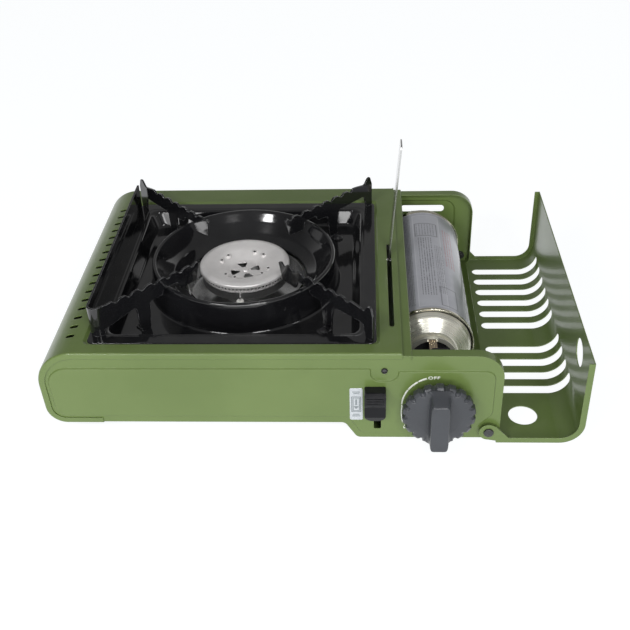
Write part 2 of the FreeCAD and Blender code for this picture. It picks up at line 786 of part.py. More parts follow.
def burner_cap_rivet():
    high = cap_top - dish_depth
    profile = [(0, high - 2.2, 0), (1.25, high - 2.2, 0), (1.25, high + 0.12, 0), (2.9, high + 0.12, 0),
               (2.2, high + 1.0, 0.6), (0, high + 1.2, 0)]
    return turned(profile, tray_x, tray_y)


def burner_reflector():
    path = [(neck + 1.4, 54.05, 0), (reflector_radius, 54.05, 3), (reflector_radius, 69.0, 0)]
    face = strip_face(path, 0.6, lambda u, v: vec(tray_x + u, tray_y, v))
    dish = face.revolve(vec(tray_x, tray_y, 0), vec(0, 0, 1), 360)
    hole = rod(3.2, (insulator_x, insulator_y, 50), (insulator_x, insulator_y, 60))
    return dish.cut(hole).removeSplitter()


def electrode_insulator():
    profile = [(0, insulator_low, 0), (3.0, insulator_low, 0.6), (3.0, 62, 0), (4.0, 62, 0.6),
               (4.0, 66, 0.6), (3.2, 66.6, 0), (3.0, 74.6, 1.4), (0, 74.6, 0)]
    return turned(profile, insulator_x, insulator_y).cut(
        rod(0.85, (insulator_x, insulator_y, 60), (insulator_x, insulator_y, 80)))


def electrode_pin():
    points = [(insulator_x, insulator_y, 62), (insulator_x, insulator_y, 77.4),
              (insulator_x + 0.3, insulator_y + 4.0, 78.2)]
    return path_sweep(points, 0.8, 1.0)


def electrode_bracket():
    low = 54.85
    path = [(insulator_y - 3.4, low, 0), (tray_y - neck - 3.0, low, 0)]
    face = strip_face(path, 1.0, cross_plane(insulator_x - 4.2))
    strap = face.extrude(vec(8.4, 0, 0))
    return strap.cut(rod(3.1, (insulator_x, insulator_y, low - 3), (insulator_x, insulator_y, low + 3)))


def mixing_tube():
    start_x = partition_x + 9
    points = [(start_x, tube_y, tube_z), (tray_x, tube_y, tube_z), (tray_x, tray_y - 17, tube_z)]
    outer = path_sweep(points, tube_radius, 32)
    inner = path_sweep(points, tube_radius - 1.0, 32)
    mouth = tube(tube_radius + 1.6, tube_radius - 0.5, (start_x - 1.5, tube_y, tube_z), (start_x, tube_y, tube_z))
    windows = []
    for side in (-1, 1):
        reach = tube_radius + 3
        windows.append(rod(3, (start_x - 20, tube_y + side * 2, tube_z), (start_x - 20, tube_y + side * reach, tube_z)))
    return outer.fuse(mouth).cut(inner).cut(group(windows)).removeSplitter()


def regulator_body():
    middle = (reg_left + reg_right) / 2
    body = prism(square((reg_right - reg_left) / 2, (reg_high - reg_low) / 2, middle, (reg_low + reg_high) / 2, 5),
                 reg_front, reg_back)
    inlet = rod(9, (can_x, reg_back - 1, can_z), (can_x, reg_back + 2.4, can_z))
    front = rod(8.5, (knob_x, reg_front - 2.2, knob_z), (knob_x, reg_front + 1, knob_z))
    side = rod(6, (reg_left - 2.5, tube_y - 4, tube_z), (reg_left + 1, tube_y - 4, tube_z))
    bosses = [rod(3.2, (x, field_front + sheet + 0.05, z), (x, reg_front + 1, z)) for x, z in boss_places]
    cuts = [rod(spindle_radius + 0.08, (knob_x, reg_front - 3, knob_z), (knob_x, reg_front + 12, knob_z))]
    cuts += [rod(1.55, (x, field_front, z), (x, reg_front + 4, z)) for x, z in boss_places]
    cuts.append(rod(3.1, (can_x, reg_back - 2, can_z), (can_x, reg_back + 4, can_z)))
    cuts.append(rod(2.6, (reg_left - 4, tube_y - 4, tube_z), (reg_left + 4, tube_y - 4, tube_z)))
    cuts.append(rod(8, (reg_right - 6, 20, 36), (reg_right + 1, 20, 36)))
    return fuse([body, inlet, front, side] + bosses).cut(group(cuts)).removeSplitter()


def regulator_cover():
    shell = rod(12, (reg_right + 0.7, 20, 36), (reg_right + 9, 20, 36))
    shell = shell.makeFillet(2.5, [e for e in shell.Edges if e.BoundBox.XMin > reg_right + 8])
    return shell.cut(rod(7.4, (reg_right, 20, 36), (reg_right + 7.2, 20, 36)))


def diaphragm():
    disc = rod(11.6, (reg_right + 0.05, 20, 36), (reg_right + 0.65, 20, 36))
    return disc


def regulator_spring():
    turns = 4
    height = 5.4
    coil = 5.0
    helix = Part.makeHelix(height / turns, height, coil)
    ring = Part.Wire(Part.makeCircle(0.4, vec(coil, 0, 0), vec(0, 1, 0)))
    spring = Part.Wire(helix).makePipeShell([ring], True, True)
    spring.rotate(vec(0, 0, 0), vec(0, 1, 0), 90)
    spring.translate(vec(reg_right + 1.2, 20, 36))
    print("spring gap between turns", round(height / turns - 0.8, 2))
    return spring


def regulator_screws():
    made = []
    for x, z in boss_places:
        head = rod(2.9, (x, field_front - 0.75, z), (x, field_front - 0.02, z))
        made.append(head.fuse(rod(1.5, (x, field_front - 0.1, z), (x, reg_front + 2, z))))
    return group(made)


def gas_jet():
    y = tube_y - 4
    thread = rod(2.5, (reg_left + 2, y, tube_z), (reg_left - 2.6, y, tube_z))
    body = rod(4.4, (reg_left - 2.55, y, tube_z), (reg_left - 7, y, tube_z))
    tip = Part.makeCone(3.4, 1.8, 4, vec(reg_left - 7, y, tube_z), vec(-1, 0, 0))
    bore = rod(0.5, (reg_left + 3, y, tube_z), (reg_left - 12, y, tube_z))
    return fuse([thread, body, tip]).cut(bore)


def inlet_nozzle():
    stem = rod(3.0, (can_x, reg_back - 1.5, can_z), (can_x, reg_back + 2.5, can_z))
    body = rod(5.0, (can_x, reg_back + 2.45, can_z), (can_x, nozzle_end - 1.2, can_z))
    bore = rod(1.2, (can_x, reg_back - 2, can_z), (can_x, nozzle_end, can_z))
    return stem.fuse(body).cut(bore)


def inlet_seal():
    return tube(4.6, 1.6, (can_x, nozzle_end - 1.15, can_z), (can_x, nozzle_end, can_z))


def canister_guide():
    foot = reg_high + 0.05
    tongue = can_z + (cup_radius + collar_radius) / 2 - 0.4
    path = [(19, foot, 0), (28.5, foot, 1.5), (30.5, tongue, 1.5), (front_seam - dome_depth - 6.2, tongue, 0)]
    strap = strip_face(path, 1.2, cross_plane(can_x - 3.0)).extrude(vec(6.0, 0, 0))
    wide = block(can_x - 6.5, 18.9, foot, can_x + 6.0, 28, foot + 1.2)
    return strap.fuse(wide).removeSplitter()


def igniter_body():
    left, right, low, high = knob_x - 5.5, knob_x + 7.0, reg_high + 0.3, 75.0
    body = prism(square((right - left) / 2, (high - low) / 2, (left + right) / 2, (low + high) / 2, 1.5), 2.6, 15.0)
    return body.cut(rod(2.1, (knob_x, plunger_y, low - 1), (knob_x, plunger_y, low + 9)))


def igniter_plunger():
    high = reg_high + 0.3
    low = knob_z + cam_radius + 0.3
    pin = rod(2.0, (knob_x, plunger_y, low), (knob_x, plunger_y, high + 4))
    return pin.makeFillet(0.8, [e for e in pin.Edges if e.BoundBox.ZMax < low + 0.2])


def ignition_wire():
    # Held all the way: igniter, hole in the partition, under the pan, electrode.
    points = [
        (knob_x - 5.55, 12.0, 66.0), (280, 12.0, 66.0), (264, 20, 61.5), (246, 22.6, 58.9), (226, 34, 56),
        (200, 46, 55.5), (172, 62, 52), (154, 73, 48.2), (insulator_x, insulator_y, 47.0),
        (insulator_x, insulator_y, insulator_low - 0.05),
    ]
    for i in range(1, len(points) - 2):
        around = [vec(*p) for p in points[i - 1:i + 2]]
        print("wire bend radius", round(natural_bend(*around), 1))
    return path_sweep(points, wire_radius)


def blade_tilted(shape):
    # The guard leans a little to the canister side, about its pivot.
    tilted = shape.copy()
    tilted.rotate(vec(blade_x, blade_pivot_y, blade_pivot_z), vec(0, 1, 0), blade_lean)
    return tilted


def guard_blade():
    high = blade_pivot_z + blade_length
    low = blade_pivot_z - 6.0
    half = blade_wide / 2
    corners = [(blade_pivot_y - half, low, 5), (blade_pivot_y + half, low, 5),
               (blade_pivot_y + half, high, 3), (blade_pivot_y - half, high, 3)]
    flat = closed_face(corners, cross_plane(blade_x - blade_thick / 2)).extrude(vec(blade_thick, 0, 0))
    bead = rod(0.9, (blade_x, blade_pivot_y, high - 8), (blade_x, blade_pivot_y, blade_pivot_z + 18))
    bead.translate(vec(blade_thick / 2 - 0.3, 0, 0))
    hole = rod(blade_pin_radius + 0.06, (blade_x - 3, blade_pivot_y, blade_pivot_z),
               (blade_x + 3, blade_pivot_y, blade_pivot_z))
    return blade_tilted(flat.fuse(bead).cut(hole))


def blade_pin():
    return blade_tilted(rod(blade_pin_radius, (blade_x - 3.9, blade_pivot_y, blade_pivot_z),
                            (blade_x + 3.9, blade_pivot_y, blade_pivot_z)))


def blade_bracket():
    high = top_height - sheet - fit_gap
    gap = 2.7
    thick = 0.8
    front = blade_pivot_y - 10
    rear = blade_pivot_y + 13
    low = blade_pivot_z - 7.5
    outer = block(blade_x - gap - thick, front, low, blade_x + gap + thick, rear, high)
    inner = block(blade_x - gap, front - 1, low - 1, blade_x + gap, rear - thick, high + 1)
    ear = block(partition_x + sheet + 0.3, blade_pivot_y - 6, high - thick, blade_x - gap, blade_pivot_y + 8, high)
    hole = blade_tilted(rod(blade_pin_radius + 0.02, (blade_x - 6, blade_pivot_y, blade_pivot_z),
                            (blade_x + 6, blade_pivot_y, blade_pivot_z)))
    return outer.cut(inner).fuse(ear).cut(hole).removeSplitter()


def panel_screw():
    profile = [(0, 8, 0), (1.5, 8, 0), (1.5, panel_front - 0.05, 0), (2.8, panel_front - 0.05, 0),
               (2.6, panel_front - 1.6, 1.0), (0, panel_front - 2.1, 0)]
    return turned_along(profile, screw_x, screw_z)


def lid_hinge_screws():
    made = []
    for side in (0, 1):
        outer = lid_side_gap
        ear_in = outer - sheet
        profile = [(0, 5.5, 0), (hinge_pin / 2, 5.5, 0), (hinge_pin / 2, panel_front - 0.02, 0),
                   (3.4, panel_front - 0.02, 0), (3.4, 0.25 - ear_in, 0), (hinge_pin / 2, 0.25 - ear_in, 0),
                   (hinge_pin / 2, -outer - 0.25, 0), (3.8, -outer - 0.25, 0), (3.5, -outer - 1.4, 0.8),
                   (0, -outer - hinge_head, 0)]
        screw = turned_along(profile, hinge_x, hinge_height)
        nut = tube(3.6, hinge_pin / 2 - 0.3, (hinge_x, panel_back + 0.02, hinge_height), (hinge_x, 4.6, hinge_height))
        pair = screw.fuse(nut)
        if side:
            pair = pair.mirror(vec(0, body_depth / 2, 0), vec(0, 1, 0))
        made.append(pair)
    return group(made)


def valve_spindle():
    radius = spindle_radius
    shaft = rod(radius, (knob_x, field_front - knob_gap - 6, knob_z), (knob_x, reg_front + 11.5, knob_z))
    flat = block(knob_x - 5, field_front - knob_gap - 8, knob_z + radius - 1.0, knob_x + 5,
                 field_front - knob_gap - 0.2, knob_z + 6)
    cam = rod(cam_radius, (knob_x, 3.4, knob_z), (knob_x, 6.8, knob_z))
    # The lobe comes to lie under the igniter's plunger at the end of the turn.
    turn = math.radians(90 - knob_range)
    reach = cam_radius + plunger_travel - 2.4
    lobe_x = knob_x + reach * math.cos(turn)
    lobe_z = knob_z + reach * math.sin(turn)
    lobe = rod(2.4, (lobe_x, 3.4, lobe_z), (lobe_x, 6.8, lobe_z))
    return shaft.cut(flat).fuse([cam, lobe]).removeSplitter()


def knob():
    back = field_front - knob_gap
    skirt_back = back - knob_hub
    front = skirt_back - knob_skirt
    skirt = turned_along([(0, back, 0), (hub_radius, back, 0.8), (hub_radius, skirt_back, 0.8),
                          (knob_radius - 1.2, skirt_back, 0.8), (knob_radius, front + 1.5, 1.2),
                          (knob_radius - 2.2, front - 0.6, 1.6), (16.0, front - 1.8, 4), (0, front - 1.8, 0)],
                         knob_x, knob_z)
    notches = []
    for k in range(scallops):
        turn = 2 * math.pi * k / scallops
        x = knob_x + (knob_radius + 1.7) * math.cos(turn)
        z = knob_z + (knob_radius + 1.7) * math.sin(turn)
        notches.append(rod(3.0, (x, skirt_back + 1, z), (x, front - 3, z)))
    low = square(grip_wide / 2 + 3.0, grip_long / 2 + 2.5, knob_x, knob_z, 4.0)
    high = square(grip_wide / 2, grip_long / 2, knob_x, knob_z, 2.0)
    grip = frustum(low, side_plane(front), high, side_plane(-knob_reach))
    rims = [e for e in grip.Edges if e.BoundBox.YMax < -knob_reach + 1e-3]
    grip = grip.makeFillet(0.9, rims)
    radius = spindle_radius + 0.03
    bore = rod(radius, (knob_x, back + 1, knob_z), (knob_x, back - 6.0, knob_z))
    seat = block(knob_x - 5, back - 7, knob_z + radius - 1.0, knob_x + 5, back + 2, knob_z + 6)
    hollow = tube(knob_radius - 3.0, hub_radius + 1, (knob_x, skirt_back + 1, knob_z), (knob_x, front + 3.2, knob_z))
    return skirt.cut(group(notches)).fuse(grip).cut(bore.cut(seat)).cut(hollow).removeSplitter()


def lever_button():
    front_view = prism([
        (lever_x - lever_wide / 2, lever_low, 6.5), (lever_x + lever_wide / 2, lever_low, 6.5),
        (lever_x + lever_wide / 2, lever_high, 1.5), (lever_x - lever_wide / 2, lever_high, 1.5),
    ], -lever_reach - 3, 2)
    back = field_front - 0.3
    side = [
        (back, lever_low, 0), (back, lever_high, 0), (-lever_reach + 1.5, lever_high + 0.0, 1.0),
        (-lever_reach - 1.0, lever_high - 2.6, 1.0), (-lever_reach + 1.0, lever_high - 12.0, 2),
        (-5.0, lever_high - 15.5, 2), (-5.2, lever_low + 5, 2), (-3.2, lever_low, 0),
    ]
    profile = closed_face(side, cross_plane(lever_x - 15)).extrude(vec(30, 0, 0))
    button = front_view.common(profile)
    grooves = []
    for k in range(3):
        z = lever_high - 4.6 - 2.5 * k
        grooves.append(block(lever_x - 6.4, -lever_reach - 2, z, lever_x + 6.4, -lever_reach + 0.6 + 0.3 * k, z + 1.1))
    shank_x = lever_x + slot_aside
    pocket = block(shank_x - 2.15, -2.6, lever_low + 9.3, shank_x + 2.15, 1, lever_low + 19.7)
    return button.cut(group(grooves)).cut(pocket).removeSplitter()


def lock_lever():
    shank_x = lever_x + slot_aside
    shank = block(shank_x - 2.1, -2.5, lever_low + 9.4, shank_x + 2.1, 4.6, lever_low + 19.6)
    plate_outline = square(4.4, 17, lever_x + 0.6, lever_low + 20, 1.5)
    plate = prism(plate_outline, 3.4, 4.6)
    arm = prism(square(1.9, 4, lever_x - 0.6, lever_low + 6, 0.8), 3.4, 13.5)
    return fuse([shank, plate, arm])


def carrier_plate():
    # A tray with two flanks at 45 degrees, just clear of the rims of the can.
    sum_edge = (cradle_reach + sheet) * math.sqrt(2)
    rise = 9.0
    turn_out = can_z - carrier_low
    half_low = sum_edge - turn_out
    path = [
        (can_x - half_low - rise, carrier_low + rise, 0), (can_x - half_low, carrier_low, 2),
        (can_x + half_low, carrier_low, 2), (can_x + half_low + rise, carrier_low + rise, 0),
    ]
    tray = bent_sheet(path, sheet, front_seam - 4, can_rear + 15)
    windows = [column(square(8, 20, can_x, front_seam + 38 + 56 * k, 5), 0, 12) for k in range(3)]
    return tray.cut(group(windows)).removeSplitter()


def carrier_spring():
    low = carrier_low + sheet + 0.05
    path = [(can_rear + 4, low, 0), (can_rear + 13.5, low, 2), (can_rear + 13.0, can_z - 6, 6),
            (can_rear + 1.1, can_z + 21, 5), (can_rear + 6, can_z + 30, 0)]
    return strip_face(path, 0.7, cross_plane(can_x - 9)).extrude(vec(18, 0, 0))


def canister_can():
    r, f, b = can_radius, front_seam, can_rear
    s = can_seam
    profile = [
        (r + s, f, 0.5), (r + s, f + 2.6, 0.9), (r, f + 3.4, 0.3), (r, b - 3.4, 0.3),
        (r + s, b - 2.6, 0.9), (r + s, b, 0.5), (r - 1.4, b, 0.4), (r - 2.2, b - 4, 0.5),
        (0, b - 8, 0), (0, b - 8.6, 0), (r - 2.8, b - 4.9, 0.5), (r - 0.5, b - 4.9, 0.3), (r - 0.5, f, 0),
    ]
    return turned_along(list(reversed(profile)), can_x, can_z)


def canister_dome():
    f = front_seam
    path = [
        (18.2, f - dome_depth, 0), (21.0, f - dome_depth + 0.8, 1.5),
        (30.5, f - 4.6, 4.5), (can_radius - 1.2, f - 0.05, 0),
    ]
    face = strip_face(path, 0.6, lambda u, v: vec(can_x + u, v, can_z))
    return face.revolve(vec(can_x, 0, can_z), vec(0, 1, 0), 360)


def canister_collar():
    f = front_seam - dome_depth
    profile = [(cup_radius, f - 0.1, 0), (cup_radius, f - cup_depth, 0.5), (collar_radius, f - cup_depth, 0.5),
               (collar_radius, f - cup_depth + 1.3, 0.3), (cup_radius + 1.6, f - cup_depth + 1.3, 0.3),
               (cup_radius + 1.6, f - 0.1, 0)]
    ring = turned_along(profile, can_x, can_z)
    notch = block(can_x - notch_width / 2, f - cup_depth - 1, can_z + cup_radius + 0.05,
                  can_x + notch_width / 2, f - cup_depth + 1.6, can_z + collar_radius + 3)
    return ring.cut(notch).removeSplitter()


def canister_valve():
    f = front_seam - dome_depth
    profile = [(0, f + 0.6, 0), (cup_radius - 0.05, f + 0.6, 0), (cup_radius - 0.05, f - 1.2, 0.5),
               (9, f - 0.6, 1), (6.5, f - 4.2, 1.2), (3.0, f - 4.6, 0.5), (3.0, f - 8.0, 0.5), (0, f - 8.0, 0)]
    return turned_along(profile, can_x, can_z)


def slot_cut(y):
    # A slot along the lid's floor that runs on round the rolled corner.
    half = slot_width / 2
    left = slot_left + half
    turn = math.radians(slot_turn)
    reach = lid_roll + 1.5
    deep = reach - 5
    roll_x = lid_outside - lid_roll
    roll_z = lid_under + lid_roll
    low = roll_z - reach
    run = reach * math.tan(turn / 2)
    end = (roll_x + reach * math.sin(turn), roll_z - reach * math.cos(turn))
    path = [(left, low, 0), (roll_x + run, low, reach), (end[0], end[1], 0)]
    channel = bent_sheet(path, 5, y - half, y + half)
    inner_end = (roll_x + deep * math.sin(turn), y, roll_z - deep * math.cos(turn))
    ends = [rod(half, (left, y, low), (left, y, low + 5)), rod(half, inner_end, (end[0], y, end[1]))]
    return channel.fuse(ends)


def lid():
    front = -lid_side_gap
    back = body_depth + lid_side_gap
    path = [(lid_start, lid_under, 0), (lid_outside, lid_under, lid_roll), (lid_outside, lid_wall_height, 0)]
    shell = bent_sheet(path, sheet, front, back)
    link = [
        (hinge_x - 3, hinge_height - lid_ear + 0.6, 0), (lid_start + 9, lid_under, 0),
        (lid_start + 9, lid_under + lid_flange, 2), (hinge_x + 5.0, hinge_height + lid_ear - 1.4, 0),
    ]
    parts = [shell]
    for y in (front, back - sheet):
        parts.append(strip_face(path, lid_flange, side_plane(y)).extrude(vec(0, sheet, 0)))
        parts.append(prism(link, y, y + sheet))
        parts.append(rod(lid_ear, (hinge_x, y, hinge_height), (hinge_x, y + sheet, hinge_height)))
    whole = fuse(parts)
    half = lid_hole / 2
    cuts = [slot_cut(slot_first + slot_pitch * k) for k in slot_places]
    cuts.append(rod(half, (floor_hole_x, floor_hole_y, -2), (floor_hole_x, floor_hole_y, 4)))
    cuts.append(rod(half, (lid_outside - 4, wall_hole_y, wall_hole_z), (lid_outside + 2, wall_hole_y, wall_hole_z)))
    cuts.append(rod(hinge_pin / 2 + hinge_clear, (hinge_x, front - 2, hinge_height), (hinge_x, back + 2, hinge_height)))
    return whole.cut(group(cuts)).removeSplitter()


makers = {
    "top_cover": top_cover, "front_panel": front_panel, "rear_panel": rear_panel,
    "base_plate": base_plate, "compartment_floor": compartment_floor, "partition_plate": partition_plate,
    "heat_return_plate": heat_return_plate, "burner_bracket": burner_bracket, "burner_base": burner_base,
    "burner_port_ring": burner_port_ring, "burner_cap": burner_cap, "burner_cap_rivet": burner_cap_rivet,
    "burner_reflector": burner_reflector, "mixing_tube": mixing_tube, "gas_jet": gas_jet,
    "regulator_body": regulator_body, "regulator_cover": regulator_cover, "diaphragm": diaphragm,
    "regulator_spring": regulator_spring, "regulator_screws": regulator_screws,
    "inlet_nozzle": inlet_nozzle, "inlet_seal": inlet_seal, "canister_guide": canister_guide,
    "igniter_body": igniter_body, "igniter_plunger": igniter_plunger, "ignition_wire": ignition_wire,
    "electrode_insulator": electrode_insulator, "electrode_pin": electrode_pin,
    "electrode_bracket": electrode_bracket, "blade_bracket": blade_bracket, "blade_pin": blade_pin,
    "guard_blade": guard_blade, "panel_screw": panel_screw, "lid_hinge_screws": lid_hinge_screws,
    "valve_spindle": valve_spindle, "knob": knob, "lever_button": lever_button, "lock_lever": lock_lever,
    "carrier_plate": carrier_plate, "carrier_spring": carrier_spring, "canister_can": canister_can,
    "canister_dome": canister_dome, "canister_collar": canister_collar, "canister_valve": canister_valve,
    "drip_pan": drip_pan, "pan_rivets": pan_rivets, "support_front_left": front_left_support,
    "lid": lid,
}
for node, maker in makers.items():
    save(node, maker())
for node, shape in feet().items():
    save(node, shape)
for quarter, corner in ((0, "rear_right"), (1, "rear_left"), (3, "front_right")):
    save("support_" + corner, support_arm(quarter))
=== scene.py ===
import bpy
import bmesh
import json
import math
import numpy as np
from mathutils import Matrix, Vector

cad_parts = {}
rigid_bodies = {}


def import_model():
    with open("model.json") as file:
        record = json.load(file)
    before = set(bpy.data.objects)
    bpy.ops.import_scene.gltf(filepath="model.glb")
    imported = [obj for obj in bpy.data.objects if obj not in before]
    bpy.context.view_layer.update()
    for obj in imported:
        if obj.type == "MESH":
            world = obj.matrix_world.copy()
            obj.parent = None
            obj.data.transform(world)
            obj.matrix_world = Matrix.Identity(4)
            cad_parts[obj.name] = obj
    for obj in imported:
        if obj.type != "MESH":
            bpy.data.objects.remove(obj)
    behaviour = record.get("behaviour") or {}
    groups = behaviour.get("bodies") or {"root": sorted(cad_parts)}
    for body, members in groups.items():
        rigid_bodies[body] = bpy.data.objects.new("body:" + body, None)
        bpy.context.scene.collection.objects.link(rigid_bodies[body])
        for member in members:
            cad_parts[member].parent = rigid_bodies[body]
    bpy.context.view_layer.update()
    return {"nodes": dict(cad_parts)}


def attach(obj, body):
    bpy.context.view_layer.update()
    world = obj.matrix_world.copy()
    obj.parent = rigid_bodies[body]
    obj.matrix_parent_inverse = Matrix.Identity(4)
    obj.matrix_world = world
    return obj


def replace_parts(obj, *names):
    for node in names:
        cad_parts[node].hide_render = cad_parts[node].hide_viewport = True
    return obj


for leftover in list(bpy.data.objects):
    bpy.data.objects.remove(leftover)
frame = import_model()
mm = 0.001
middle = np.array([201.54019, 115.3, 0.0])   # panel frame to part frame, as in the part's source
print("stage 1: frame loaded,", len(frame["nodes"]), "nodes")

# Camera

cameraSetup = {"pitch": 34.773, "yaw": -3.564, "roll": -2.177, "place": (0.03965, -0.64659, 0.48670),
               "lens": 54.07, "shiftX": -0.00298, "shiftY": -0.0045}


def placeCamera(setup):
    # forward from pitch and yaw, right from forward and up, then both turned by the roll
    pitch, yaw, roll = (math.radians(setup[key]) for key in ("pitch", "yaw", "roll"))
    forward = Vector((math.sin(yaw) * math.cos(pitch), math.cos(yaw) * math.cos(pitch), -math.sin(pitch)))
    right = forward.cross(Vector((0, 0, 1))).normalized()
    up = right.cross(forward)
    turnedRight = right * math.cos(roll) + up * math.sin(roll)
    turnedUp = up * math.cos(roll) - right * math.sin(roll)
    data = bpy.data.cameras.new("studioCamera")
    data.sensor_width = 36
    data.lens = setup["lens"]
    data.shift_x = setup["shiftX"]
    data.shift_y = setup["shiftY"]
    data.clip_start = 0.01
    camera = bpy.data.objects.new("studioCamera", data)
    bpy.context.scene.collection.objects.link(camera)
    turn = Matrix((turnedRight, turnedUp, -forward)).transposed().to_4x4()
    camera.matrix_world = Matrix.Translation(setup["place"]) @ turn
    bpy.context.scene.camera = camera


placeCamera(cameraSetup)

# Shared node groups


def newGroup(name, inputs, outputs):
    group = bpy.data.node_groups.new(name, "ShaderNodeTree")
    for label, kind, start in inputs:
        socket = group.interface.new_socket(name=label, in_out="INPUT", socket_type="NodeSocket" + kind)
        socket.default_value = start
    for label, kind in outputs:
        group.interface.new_socket(name=label, in_out="OUTPUT", socket_type="NodeSocket" + kind)
    return group, group.nodes.new("NodeGroupInput"), group.nodes.new("NodeGroupOutput")


def addMath(tree, operation, first, second=None, clamp=False):
    node = tree.nodes.new("ShaderNodeMath")
    node.operation = operation
    node.use_clamp = clamp
    for index, value in ((0, first), (1, second)):
        if value is None:
            continue
        if isinstance(value, (int, float)):
            node.inputs[index].default_value = value
        else:
            tree.links.new(value, node.inputs[index])
    return node.outputs[0]


def addNoise(tree, vector, scale, detail=3.0, rough=0.5):
    node = tree.nodes.new("ShaderNodeTexNoise")
    node.inputs["Detail"].default_value = detail
    node.inputs["Roughness"].default_value = rough
    if isinstance(scale, (int, float)):
        node.inputs["Scale"].default_value = scale
    else:
        tree.links.new(scale, node.inputs["Scale"])
    tree.links.new(vector, node.inputs["Vector"])
    return node.outputs["Fac"]


def addRange(tree, value, low, high, outLow=0.0, outHigh=1.0, smooth=True):
    node = tree.nodes.new("ShaderNodeMapRange")
    node.interpolation_type = "SMOOTHSTEP" if smooth else "LINEAR"
    for key, number in (("From Min", low), ("From Max", high), ("To Min", outLow), ("To Max", outHigh)):
        if isinstance(number, (int, float)):
            node.inputs[key].default_value = number
        else:
            tree.links.new(number, node.inputs[key])
    tree.links.new(value, node.inputs["Value"])
    return node.outputs["Result"]


def addMix(tree, factor, first, second, blend="MIX"):
    node = tree.nodes.new("ShaderNodeMix")
    node.data_type = "RGBA"
    node.blend_type = blend
    for socket, value in ((node.inputs["Factor"], factor), (node.inputs["A"], first), (node.inputs["B"], second)):
        if isinstance(value, tuple):
            socket.default_value = value if len(value) == 4 else (*value, 1)
        elif isinstance(value, (int, float)):
            socket.default_value = value
        else:
            tree.links.new(value, socket)
    return node.outputs["Result"]


def addSplit(tree, vector):
    node = tree.nodes.new("ShaderNodeSeparateXYZ")
    tree.links.new(vector, node.inputs[0])
    return node.outputs


def coatGrainGroup():
    # colour = base mottled by a broad noise; height = fine orange peel; roughness = mean plus broad noise
    group, into, out = newGroup("coatGrain", [
        ("Vector", "Vector", (0, 0, 0)), ("Light", "Color", (1, 1, 1, 1)), ("Dark", "Color", (0.8, 0.8, 0.8, 1)),
        ("Broad Scale", "Float", 18.0), ("Peel Scale", "Float", 900.0),
        ("Smooth", "Float", 0.3), ("Rough", "Float", 0.4)],
        [("Color", "Color"), ("Roughness", "Float"), ("Height", "Float")])
    broad = addNoise(group, into.outputs["Vector"], into.outputs["Broad Scale"], 4.0)
    peel = addNoise(group, into.outputs["Vector"], into.outputs["Peel Scale"], 2.0)
    share = addRange(group, broad, 0.3, 0.7)
    group.links.new(addMix(group, share, into.outputs["Light"], into.outputs["Dark"]), out.inputs["Color"])
    shine = addRange(group, broad, 0.3, 0.7, into.outputs["Smooth"], into.outputs["Rough"])
    group.links.new(shine, out.inputs["Roughness"])
    group.links.new(peel, out.inputs["Height"])
    return group


def edgeHighlightGroup():
    # painted highlight on edges: how far the rounded normal leaves the face normal near an edge, broken up by noise,
    # lightens the colour there
    group, into, out = newGroup("paintedEdgeHighlight", [
        ("Vector", "Vector", (0, 0, 0)), ("Color", "Color", (1, 1, 1, 1)), ("Bare", "Color", (0.5, 0.5, 0.5, 1)),
        ("Width", "Float", 0.0006), ("Amount", "Float", 0.5), ("Breakup", "Float", 300.0)], [("Color", "Color")])
    bevel = group.nodes.new("ShaderNodeBevel")
    bevel.samples = 4
    group.links.new(into.outputs["Width"], bevel.inputs["Radius"])
    geometry = group.nodes.new("ShaderNodeNewGeometry")
    dot = group.nodes.new("ShaderNodeVectorMath")
    dot.operation = "DOT_PRODUCT"
    group.links.new(bevel.outputs["Normal"], dot.inputs[0])
    group.links.new(geometry.outputs["Normal"], dot.inputs[1])
    bend = addRange(group, dot.outputs["Value"], 0.995, 0.8)
    broken = addRange(group, addNoise(group, into.outputs["Vector"], into.outputs["Breakup"], 3.0), 0.35, 0.6)
    mask = addMath(group, "MULTIPLY", addMath(group, "MULTIPLY", bend, broken), into.outputs["Amount"], True)
    group.links.new(addMix(group, mask, into.outputs["Color"], into.outputs["Bare"]), out.inputs["Color"])
    return group


def dustFilmGroup():
    # dust = upward part of the normal times a broad noise; lightens the colour a little
    group, into, out = newGroup("dustFilm", [
        ("Vector", "Vector", (0, 0, 0)), ("Color", "Color", (1, 1, 1, 1)),
        ("Dust", "Color", (0.42, 0.40, 0.36, 1)), ("Amount", "Float", 0.05)], [("Color", "Color")])
    geometry = group.nodes.new("ShaderNodeNewGeometry")
    upward = addRange(group, addSplit(group, geometry.outputs["Normal"])[2], 0.3, 1.0)
    patches = addRange(group, addNoise(group, into.outputs["Vector"], 60.0, 5.0, 0.6), 0.42, 0.75)
    mask = addMath(group, "MULTIPLY", addMath(group, "MULTIPLY", upward, patches), into.outputs["Amount"], True)
    group.links.new(addMix(group, mask, into.outputs["Color"], into.outputs["Dust"]), out.inputs["Color"])
    return group


def brushLinesGroup():
    # lines = noise read on a vector that is squeezed along the brushing direction
    group, into, out = newGroup("brushLines", [
        ("Vector", "Vector", (0, 0, 0)), ("Scale", "Float", 400.0),
        ("Smooth", "Float", 0.2), ("Rough", "Float", 0.4)],
        [("Height", "Float"), ("Roughness", "Float"), ("Value", "Float")])
    lines = addNoise(group, into.outputs["Vector"], into.outputs["Scale"], 4.0, 0.7)
    group.links.new(lines, out.inputs["Height"])
    shine = addRange(group, lines, 0.3, 0.7, into.outputs["Smooth"], into.outputs["Rough"])
    group.links.new(shine, out.inputs["Roughness"])
    group.links.new(lines, out.inputs["Value"])
    return group


groups = {"grain": coatGrainGroup(), "edgeShine": edgeHighlightGroup(), "dust": dustFilmGroup(), "brush": brushLinesGroup()}
print("stage 2: node groups made")


